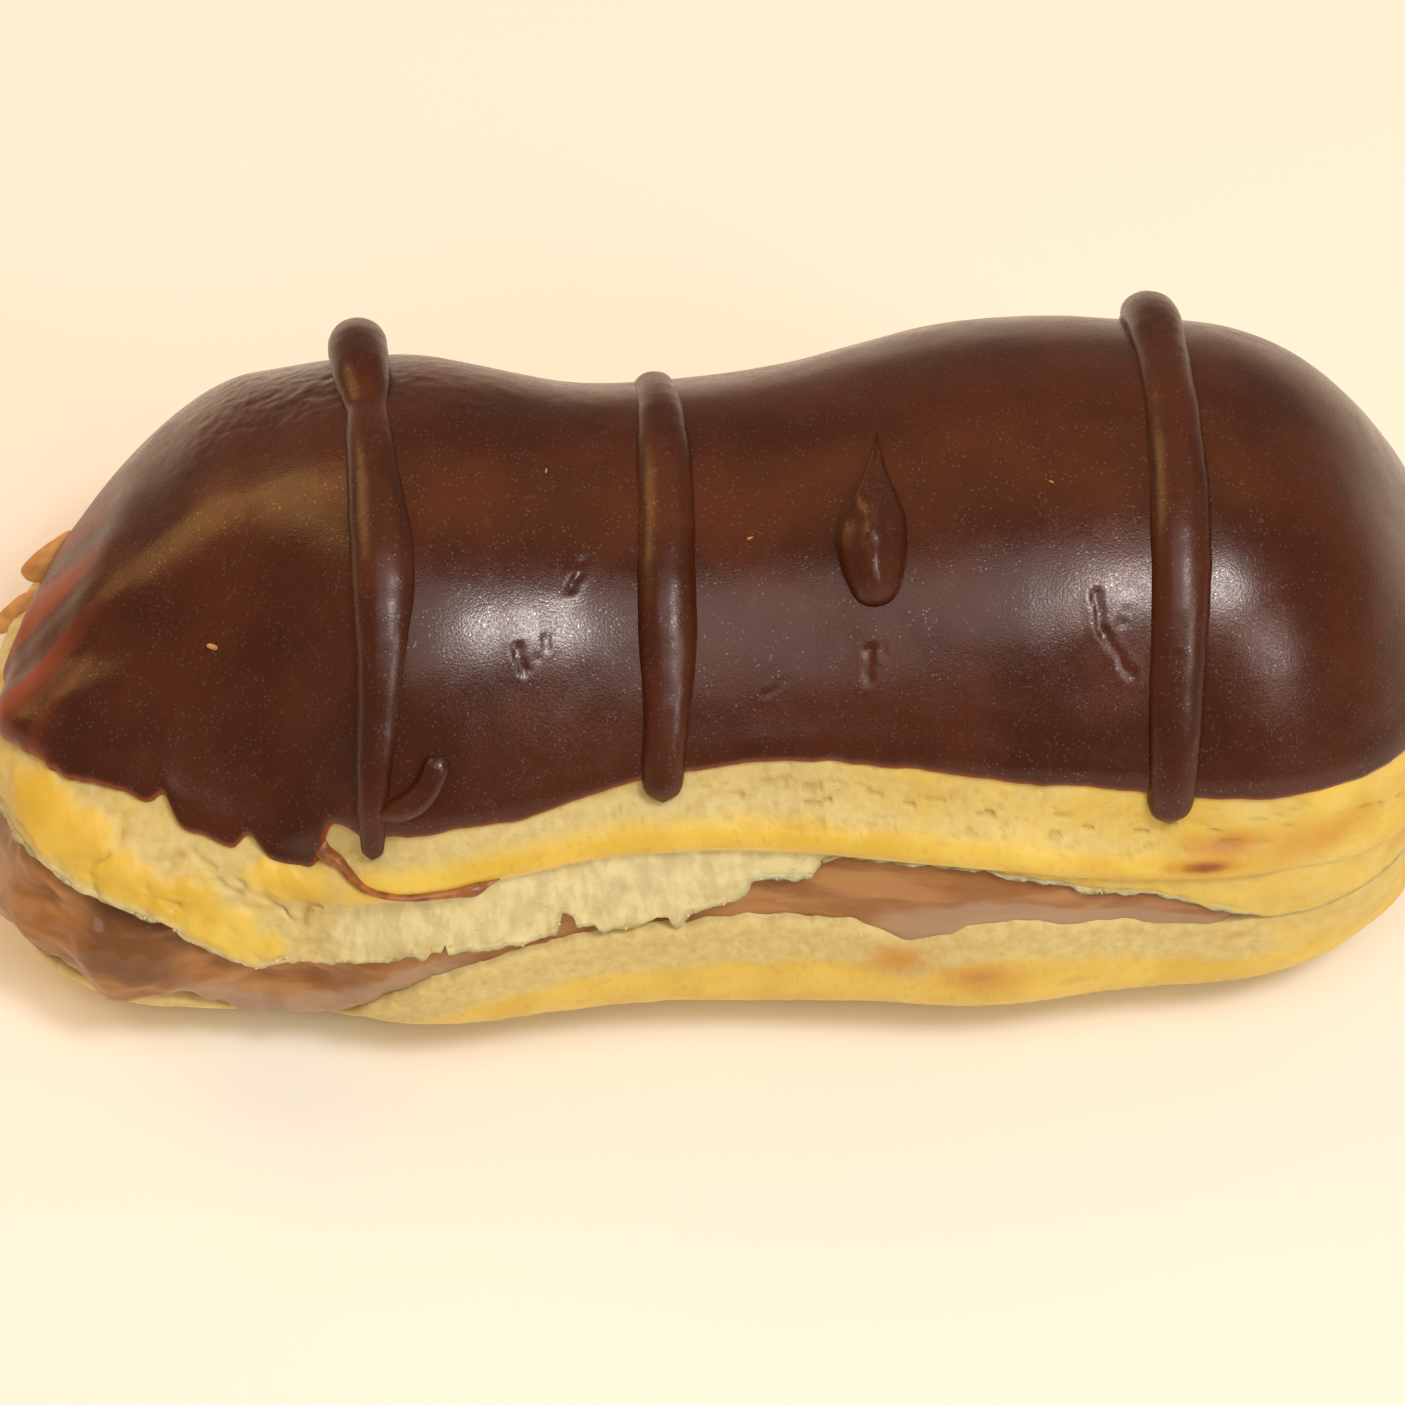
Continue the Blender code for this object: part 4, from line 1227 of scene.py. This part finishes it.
# %% [markdown]
# The stripes run over the bun from front to back. A table gives the x and the half width of each at a
# few climbs over the top: 0 is the widest height in front, 1 the crest and 2 the widest height behind.
# The bead sits a little into the coat, so that only its upper part shows and its sides meet the coat
# in a crisp line.

# %% The stripes
#  climb, then x, half width and extra height in millimetres
STRIPES = {
    "stripe_left": (
        (0.262, -23.75, 0.75, 0), (0.33, -23.6, 1.05, 0), (0.46, -23.25, 1.45, 0), (0.55, -22.95, 1.65, 0),
        (0.63, -22.7, 1.9, 0), (0.72, -22.5, 2.25, 0), (0.82, -22.5, 2.35, 0), (0.90, -22.75, 2.15, 0),
        (1.0, -23.1, 1.9, 0), (1.08, -23.3, 1.72, 0), (1.15, -23.45, 1.6, 0), (1.20, -23.6, 1.85, 0.5),
        (1.27, -23.8, 2.1, 1.2), (1.36, -24.0, 2.1, 1.8), (1.44, -24.1, 1.8, 1.9), (1.50, -24.1, 1.6, 1.2),
        (1.58, -24.1, 1.5, 0.1), (1.72, -23.9, 1.2, 0),
    ),
    "stripe_middle": (
        (0.34, -3.65, 1.35, 0), (0.405, -3.6, 1.55, 0), (0.49, -3.25, 1.62, 0), (0.57, -3.05, 1.9, 0),
        (0.64, -3.0, 2.1, 0), (0.78, -2.85, 2.15, 0), (0.90, -2.7, 2.1, 0), (1.01, -2.68, 2.05, 0),
        (1.1, -2.7, 1.9, 0), (1.2, -2.75, 1.7, 0), (1.36, -2.95, 1.5, 0), (1.55, -3.1, 1.4, 0),
        (1.73, -3.2, 1.1, 0),
    ),
    "stripe_right": (
        (0.25, 31.6, 1.45, 0), (0.32, 31.7, 1.75, 0), (0.42, 31.9, 1.95, 0.05), (0.6, 32.3, 2.15, 0.3),
        (0.74, 32.7, 2.2, 0.45), (0.9, 32.9, 2.15, 0.45), (1.07, 33.0, 2.0, 0.45), (1.22, 33.0, 1.95, 0.6),
        (1.32, 33.0, 2.0, 1.2), (1.42, 33.0, 1.95, 1.3), (1.50, 33.0, 1.7, 0.9), (1.60, 33.0, 1.5, 0.3),
        (1.72, 32.6, 1.3, 0),
    ),
}
BEAD_TALL = 0.78  # a bead's half height as a share of its half width
BEAD_SINK = 0.22  # how far its middle lies under the coat, as a share of its half height


def over_bun(x, climb, lift):
    """Points over the bun, lifted off its skin by millimetres."""
    way_along = (np.clip(x * MM, SPINE_LEFT, SPINE_RIGHT) - SPINE_LEFT) / (SPINE_RIGHT - SPINE_LEFT)
    front = climb <= 1
    turn = np.where(front, way_along, 3 - way_along)
    turn = np.clip(turn, 0.001, 2.999)
    level = np.where(front, climb, 2 - climb)
    return skin(turn, level) + outward(turn, level) * (lift * MM)[..., None]


def lay_stripe(name, table, seed):
    table = np.array(table)
    climb = np.linspace(table[0, 0], table[-1, 0], 160)
    x, half = along(climb, table, 1), along(climb, table, 2)
    widest = table[:, 2].max()
    span = np.linalg.norm(np.diff(over_bun(x, climb, np.zeros_like(x)), axis=0), axis=-1).sum() / MM
    to_end = np.minimum(climb - climb[0], climb[-1] - climb) / (climb[-1] - climb[0]) * span
    tip = np.sqrt(np.clip(1 - (1 - np.clip(to_end / (half * 0.9), 0, 1)) ** 2, 0.0, 1))
    on_rim = 0.55 * (1 - between(climb, table[0, 0] + 0.08, table[0, 0] + 0.3))
    points = over_bun(x, climb, on_rim + along(climb, table, 3) - BEAD_SINK * BEAD_TALL * half * tip)
    radii = np.maximum(half * tip / widest, 0.02)
    return grow(name, path_object(points, radii), beads, {
        "Width": widest * MM, "Height": widest * BEAD_TALL * MM, "Step": 0.28 * MM,
        "Lumps": 0.30 * MM, "Lump size": 3.2 * MM, "Seed": seed, "Chocolate": piped_chocolate})


stripes = {
    name: lay_stripe(name + "_bead", table, 3.0 * i) for i, (name, table) in enumerate(STRIPES.items())
}

# %% [markdown]
# A drop fell on the coat beside the stripes, and its tail was drawn out to the back as the nozzle
# moved on. It is a heap whose outline narrows to a point, so it is a small grid of rings.

# %% The drop
DROP_RINGS, DROP_SIDES = 30, 96
#  share of the way from foot to tail, then x and half width in millimetres
DROP = (
    (0.0, 11.5, 0.0), (0.006, 11.5, 0.5), (0.02, 11.5, 0.95), (0.06, 11.5, 1.5), (0.12, 11.5, 1.9),
    (0.22, 11.45, 2.3), (0.36, 11.4, 2.5), (0.5, 11.5, 2.3), (0.62, 11.7, 1.6), (0.74, 11.95, 0.85),
    (0.86, 12.15, 0.4), (1.0, 12.3, 0.0),
)
DROP_FOOT, DROP_TAIL = 0.672, 1.03  # climbs
HEAP_X, HEAP_SHARE = 11.45, 0.33  # where the heap's top is: its x, its share of the way


def drop_piece():
    """Rings from the heap's top down to its outline, which lies a little under the coat."""
    spin = (np.arange(DROP_SIDES) + 0.5) * 2 * np.pi / DROP_SIDES
    part = (1 - np.cos(spin)) / 2
    outline = along(part, DROP, 1) + np.sign(np.sin(spin)) * along(part, DROP, 2)
    rings = []
    for t in np.linspace(0.02, 1, DROP_RINGS):
        along_it = HEAP_SHARE + (part - HEAP_SHARE) * t
        x = HEAP_X + (outline - HEAP_X) * t
        from_axis = (x - along(along_it, DROP, 1)) / np.maximum(along(along_it, DROP, 2), 0.3)
        bead = 0.85 * hump(from_axis, 0.1, 0.45) * (1 - between(along_it, 0.45, 0.60))
        on_tail = between(along_it, 0.40, 0.55) * (1 - between(along_it, 0.85, 1.0))
        ridge = 0.75 * hump(from_axis, -0.35, 0.3) * on_tail
        dome = 1.7 * np.sqrt(max(0.0, 1 - t**4)) - 0.3
        height_of = (dome + (bead + ridge) * (1 - t**4)) * (1 - 0.5 * between(along_it, 0.5, 1.0))
        climb = DROP_FOOT + (DROP_TAIL - DROP_FOOT) * along_it
        height_of = height_of + 0.10 * lumps(over_bun(x, climb, 0 * x), 1.1 * MM, 101)
        rings.append(over_bun(x, climb, height_of))
    grid = np.array(rings)
    ends = (np.arange(DROP_SIDES), (DROP_RINGS - 1) * DROP_SIDES + np.arange(DROP_SIDES))
    faces = [grid_faces(DROP_RINGS, DROP_SIDES), *ends]
    return mesh_piece("chocolate_drop_heap", grid.reshape(-1, 3), faces)


drop = drop_piece()
drop.data.materials.append(piped_chocolate)

# %% [markdown]
# ## Small things
# A thin drip ran from the coat's lowest lobe along the pastry's ridge and ended in a bead, a curl of
# chocolate set at the foot of the left stripe, and two flakes of crust stand up at the left end.

# %% Drip and curl
def relief_at(turn, z):
    """How far the pastry's relief stands off the skin at these places, in millimetres."""
    shown_rows = slice(FIRST_BARE, FIRST_UNDER)
    found = []
    for t, high in zip(turn % 4, z):
        column = np.abs(DOUGH_TURNS - t).argmin()
        nearest = np.abs(height[shown_rows, column] - high * MM).argmin()
        found.append(lift[shown_rows][nearest, column])
    return np.array(found)


def front_path(knots, count=90):
    """A smooth path on the front's relief through (x, z, lift, radius share) knots, in millimetres."""
    table = np.column_stack([np.arange(len(knots)), np.array(knots, float)])
    t = np.linspace(0, len(knots) - 1, count)
    x, z, off, radius = (along(t, table, c) for c in (1, 2, 3, 4))
    turn = ((x * MM - SPINE_LEFT) / (SPINE_RIGHT - SPINE_LEFT)) % 4
    off = off + np.convolve(np.pad(relief_at(turn, z), 4, mode="edge"), np.ones(9) / 9, mode="valid")
    level = level_at(turn, z * MM)
    return skin(turn, level) + outward(turn, level) * (off * MM)[:, None], radius


drip_points, drip_radii = front_path((
    (-27.7, 23.0, -0.1, 1.3), (-27.4, 22.6, 0.0, 1.3), (-26.9, 22.5, 0.05, 1.15),
    (-26.3, 22.4, 0.1, 0.9), (-25.6, 22.1, 0.12, 0.75), (-24.4, 21.8, 0.15, 0.6),
    (-23.0, 21.75, 0.15, 0.55), (-21.4, 21.7, 0.15, 0.55), (-19.6, 21.7, 0.15, 0.65),
    (-18.2, 21.75, 0.15, 0.85), (-17.2, 21.9, 0.15, 1.25), (-16.6, 22.0, 0.15, 0.95),
    (-16.0, 22.1, 0.1, 0.4), (-15.2, 22.3, 0.05, 0.15),
))
drip = grow("drip_line", path_object(drip_points, drip_radii), beads, {
    "Width": 0.55 * MM, "Height": 0.42 * MM, "Step": 0.15 * MM,
    "Lumps": 0.12 * MM, "Lump size": 1.2 * MM, "Seed": 9.0, "Chocolate": thin_chocolate})

#  step, x in millimetres, climb, lift in millimetres, radius share
CURL = (
    (0, -23.2, 0.345, -0.1, 0.9), (1, -22.3, 0.350, 0.15, 0.95), (2, -21.5, 0.356, 0.45, 1.0),
    (3, -20.7, 0.368, 0.7, 1.0), (4, -20.0, 0.388, 0.85, 0.95), (5, -19.5, 0.41, 0.9, 0.9),
    (6, -19.2, 0.43, 0.9, 0.85), (7, -19.15, 0.443, 0.85, 0.6),
)
t = np.linspace(0, len(CURL) - 1, 60)
curl_points = over_bun(along(t, CURL, 1), along(t, CURL, 2), along(t, CURL, 3))
curl = grow("curl", path_object(curl_points, along(t, CURL, 4)), beads, {
    "Width": 1.1 * MM, "Height": 0.9 * MM, "Step": 0.15 * MM,
    "Lumps": 0.2 * MM, "Lump size": 1.5 * MM, "Seed": 4.0, "Chocolate": piped_chocolate})

# %% [markdown]
# At the left end the coat's edge has lifted two thin flakes of crust, and small bits of crust stuck to
# the coat before it set. Each is a thin lens: rings shrink from an outline to a middle, once for its
# face and once for its back.

# %% Flakes
def flake_piece(name, outline, thick, bulge, material):
    """A thin closed flake inside an outline of (x, y, z) places in millimetres."""
    outline = np.array(outline, float) * MM
    count, sides = len(outline), 48
    table = np.column_stack([np.arange(-2, count + 3), outline[np.arange(-2, count + 3) % count]])
    t = np.arange(sides) * count / sides
    edge = np.stack([along(t, table, c) for c in (1, 2, 3)], axis=-1)
    middle = edge.mean(axis=0)
    facing = unit(np.cross(edge - middle, np.roll(edge, -1, axis=0) - middle).sum(axis=0))
    steps = np.sin(np.linspace(0.04, 1, 10) * np.pi / 2)
    faces, points_of = [], []
    for side, order_of in ((1, steps), (-1, steps[-2::-1])):
        for s in order_of:
            ring = middle + (edge - middle) * s
            bowed = bulge * (1 - s**2) + 0.12 * lumps(ring, 1.0 * MM, 97)
            off = side * thick / 2 * math.sqrt(max(0.0, 1 - s**6)) + bowed
            points_of.append(ring + facing * (off * MM)[:, None])
    grid = np.array(points_of)
    faces = [grid_faces(len(grid), sides), np.arange(sides), (len(grid) - 1) * sides + np.arange(sides)]
    piece = mesh_piece(name, grid.reshape(-1, 3), faces)
    piece.data.materials.append(material)
    return piece


flakes = [
    flake_piece("flake_upper", (
        (-45.6, 8.3, 24.5), (-47.2, 8.0, 23.7), (-48.5, 7.5, 22.9), (-49.4, 6.9, 22.1), (-49.2, 6.5, 21.6),
        (-48.6, 6.2, 21.4), (-47.2, 6.0, 21.7), (-46.2, 6.9, 22.8)), 0.45, 0.3, flaked_crust),
    flake_piece("flake_lower", (
        (-46.8, 5.2, 21.9), (-49.1, 5.3, 21.3), (-50.3, 5.0, 20.5), (-51.4, 4.5, 19.5), (-51.6, 3.8, 18.7),
        (-50.6, 3.6, 18.9), (-49.4, 4.2, 19.8), (-47.8, 4.4, 20.8)), 0.4, 0.2, flaked_crust),
]
#  x, climb, length, width, turn of each bit of crust on the coat, in millimetres and degrees
BITS = (
    (-34.2, 0.615, 1.7, 0.42, -52), (26.8, 0.37, 0.35, 0.2, 30), (37.8, 0.46, 0.5, 0.3, 10),
    (40.1, 0.42, 0.4, 0.25, 70), (3.0, 0.83, 0.5, 0.2, 20), (24.0, 0.88, 0.4, 0.15, 150),
    (-11.0, 0.98, 0.4, 0.15, 80),
)
LEFT_BIT_TURN = 3.91  # the first bit lies round the left end, beyond the spine
for i, (x, climb, long, wide, angle) in enumerate(BITS):
    heading = math.radians(angle)
    spin = np.linspace(0, 2 * np.pi, 6, endpoint=False)
    a, b = long / 2 * np.cos(spin) * (1 + 0.2 * np.cos(3 * spin)), wide / 2 * np.sin(spin)
    dx, up = a * math.cos(heading) - b * math.sin(heading), a * math.sin(heading) + b * math.cos(heading)
    if x < SPINE_LEFT / MM:
        spot = on_skin((LEFT_BIT_TURN, climb))[0]
        off = outward(np.array(LEFT_BIT_TURN), np.array(climb)) * 0.15
        places = [spot + np.array([p, -0.35 * q, 0.9 * q]) + off for p, q in zip(dx, up)]
    else:
        places = over_bun(x + dx, np.full(6, climb) + up / 36, np.full(6, 0.12)) / MM
    flakes.append(flake_piece(f"crust_bit_{i + 1}", places, 0.25, 0.05, flaked_crust))

# %% [markdown]
# ## Crumbs
# The torn lip sheds crumbs, and Geometry Nodes scatters them: it picks points on a strip of the lip,
# puts a small faceted ball on each at a random size and turn, makes them real and roughens them.

# %% The crumb tree
def crumb_tree():
    tree, given = new_tree("crumbs", {
        "Count": ("Float", 1e6), "Smallest": ("Float", 0.1 * MM), "Largest": ("Float", 0.3 * MM),
        "Seed": ("Int", 1), "Crumb": ("Material", None),
    })
    spots = add_node(tree, "GeometryNodeDistributePointsOnFaces", {"distribute_method": "RANDOM"}, {
        "Mesh": given["Geometry"], "Density": given["Count"], "Seed": given["Seed"]})
    ball = add_node(tree, "GeometryNodeMeshIcoSphere", None, {"Radius": 1.0, "Subdivisions": 2})
    size = add_node(tree, "FunctionNodeRandomValue", {"data_type": "FLOAT"}, {
        "Min": given["Smallest"], "Max": given["Largest"], "Seed": given["Seed"]})
    turned = add_node(tree, "FunctionNodeRandomValue", {"data_type": "FLOAT_VECTOR"}, {
        "Min": (0.0, 0.0, 0.0), "Max": (6.28, 6.28, 6.28), "Seed": given["Seed"]})
    placed = add_node(tree, "GeometryNodeInstanceOnPoints", None, {
        "Points": spots["Points"], "Instance": ball["Mesh"], "Rotation": turned[0], "Scale": size[1]})
    real = add_node(tree, "GeometryNodeRealizeInstances", None, {"Geometry": placed["Instances"]})
    noise = add_node(tree, "ShaderNodeTexNoise", {"noise_dimensions": "3D"}, {
        "Scale": 3500.0, "Detail": 2.0})
    away = add_node(tree, "ShaderNodeVectorMath", {"operation": "SUBTRACT"}, {
        0: noise[1], 1: (0.5, 0.5, 0.5)})
    push = add_node(tree, "ShaderNodeVectorMath", {"operation": "SCALE"}, {0: away[0], "Scale": 0.25 * MM})
    moved = add_node(tree, "GeometryNodeSetPosition", None, {
        "Geometry": real["Geometry"], "Offset": push[0]})
    return end_tree(tree, moved["Geometry"], given["Crumb"])


def strip_object(rows_of_points):
    """A plain open strip to scatter on, from rows of points."""
    rows_of_points = np.asarray(rows_of_points)
    mesh = bpy.data.meshes.new("strip")
    quads = grid_faces(*rows_of_points.shape[:2], round_it=False)
    mesh.from_pydata(rows_of_points.reshape(-1, 3).tolist(), [], quads.tolist())
    return put("strip", mesh)


crumbs = crumb_tree()
order = np.argsort((DOUGH_TURNS - 3.3) % 4)
lip = [i for i in order if (DOUGH_TURNS[i] - 3.3) % 4 < 1.22]
lip_strip = points[FIRST_UNDER - 3 : FIRST_UNDER + 2][:, lip]


lip_crumbs = grow("lip_crumbs", strip_object(lip_strip), crumbs, {
    "Count": 8e5, "Smallest": 0.04 * MM, "Largest": 0.14 * MM, "Seed": 5, "Crumb": loose_crumb})

# %% [markdown]
# ## Joining the frame
# Each piece rides on the part's one body and takes its finish from a slot of the record. The choux, the
# cream, the coat, the drop and the stripes stand for the plain solids that they detail.

# %% Ride and replace
SLOTS = {choux: "choux", cream: "cream"}
SLOTS.update({piece: "chocolate" for piece in (coat, drop, drip, curl)})
SLOTS.update({piece: "choux" for piece in (lip_crumbs, *flakes)})
SLOTS.update({piece: "chocolate" for piece in stripes.values()})
for piece, slot in SLOTS.items():
    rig.ride(piece, "root")
    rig.slot(piece, slot)
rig.replaces(choux, "choux")
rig.replaces(cream, "cream")
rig.replaces(coat, "chocolate_coat")
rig.replaces(drop, "chocolate_drop")
for name, piece in stripes.items():
    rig.replaces(piece, name)
print("pieces:", len(SLOTS))

# %% [markdown]
# ## Stage, light and camera
# A pale plain floor in a pale, dim, warm room. Two small white lights stand at the front right, one high
# and one low, and draw hot spots. A white panel over the front is mirrored by the coat as a wide soft
# band. A warm panel over the back browns the top, and a warm lamp behind on the left draws gold edges.
# The camera looks down at the cut side from well away, so that the bun is hardly foreshortened.

# %% Stage
def stage_finish():
    finish = Finish("pale_plate", Specular_IOR_Level=0.25)
    tone = finish.noise(60.0, 2.0)
    colour = finish.mix(tone, shown(254, 248, 236), shown(255, 249, 237))
    return finish.wear(Base_Color=colour, Roughness=0.5 + (tone - 0.5) * 0.05)


def plane(name, size, z):
    s = size / 2
    mesh = bpy.data.meshes.new(name)
    mesh.from_pydata([(-s, -s, z), (s, -s, z), (s, s, z), (-s, s, z)], [], [(0, 1, 2, 3)])
    return put(name, mesh)


floor = plane("floor", 3.0, 0.0)
floor.data.materials.append(stage_finish())
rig.stage(floor)


def direction(azimuth, elevation):
    """From the object towards a place round it: azimuth 0 is the front and grows to the right."""
    a, e = math.radians(azimuth), math.radians(elevation)
    return np.array([math.sin(a) * math.cos(e), -math.cos(a) * math.cos(e), math.sin(e)])


def aim(obj, place, target):
    obj.location = place
    obj.rotation_euler = (Vector(target) - Vector(place)).to_track_quat("-Z", "Y").to_euler()


def soft_light(name, shape, size_x, size_y, place, target, watts, colour):
    light = bpy.data.lights.new(name, "AREA")
    light.shape = shape
    light.size, light.size_y = size_x, size_y
    light.energy, light.color = watts, colour
    aim(put(name, light), place, target)


MIDDLE = (0, 0, 0.02)
WHITE, NEAR_WHITE, ORANGE, GOLD = (1.0, 1.0, 1.0), (1.0, 0.98, 1.0), (1.0, 0.42, 0.14), (1.0, 0.58, 0.18)
soft_light("side_light", "DISK", 0.2, 0.2, direction(40, 60) * 0.9, MIDDLE, 2.5, WHITE)
soft_light("low_light", "DISK", 0.28, 0.28, direction(44, 33) * 0.9, MIDDLE, 1.25, WHITE)
# Each panel looks straight down. Its target is a little aside, which says which way its long side lies.
soft_light("high_panel", "RECTANGLE", 0.85, 0.54, (0.075, -0.38, 0.8), (0.075, -0.379, 0), 2.5, NEAR_WHITE)
soft_light("warm_ceiling", "RECTANGLE", 1.3, 0.6, (0.05, 0.42, 0.8), (0.05, 0.421, 0), 1.7, ORANGE)
soft_light("warm_lamp", "RECTANGLE", 0.6, 0.42, direction(238, 37), MIDDLE, 2.6, GOLD)
world = bpy.data.worlds.new("pale_room")
world.use_nodes = True
world.node_tree.nodes["Background"].inputs["Color"].default_value = (1.0, 0.84, 0.66, 1)
world.node_tree.nodes["Background"].inputs["Strength"].default_value = 0.34
bpy.context.scene.world = world
bpy.context.scene.view_settings.view_transform = "Standard"

# %% Camera
CAMERA_TARGET = (0, 0, 0.0126)
CAMERA_AZIMUTH, CAMERA_ELEVATION, CAMERA_DISTANCE = -2.5, 50, 0.42
camera_data = bpy.data.cameras.new("camera")
camera_data.sensor_width = 36
camera_data.lens = 146.2
camera_data.clip_start = 0.01
camera = put("camera", camera_data)
way_back = direction(CAMERA_AZIMUTH, CAMERA_ELEVATION) * CAMERA_DISTANCE
aim(camera, np.array(CAMERA_TARGET) + way_back, CAMERA_TARGET)
bpy.context.scene.camera = camera

# %% Finish
with open("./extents.json", "w") as out:
    json.dump({"cad": cad_box, "visual": as_lists(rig.bounds())}, out)
print(open("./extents.json").read())
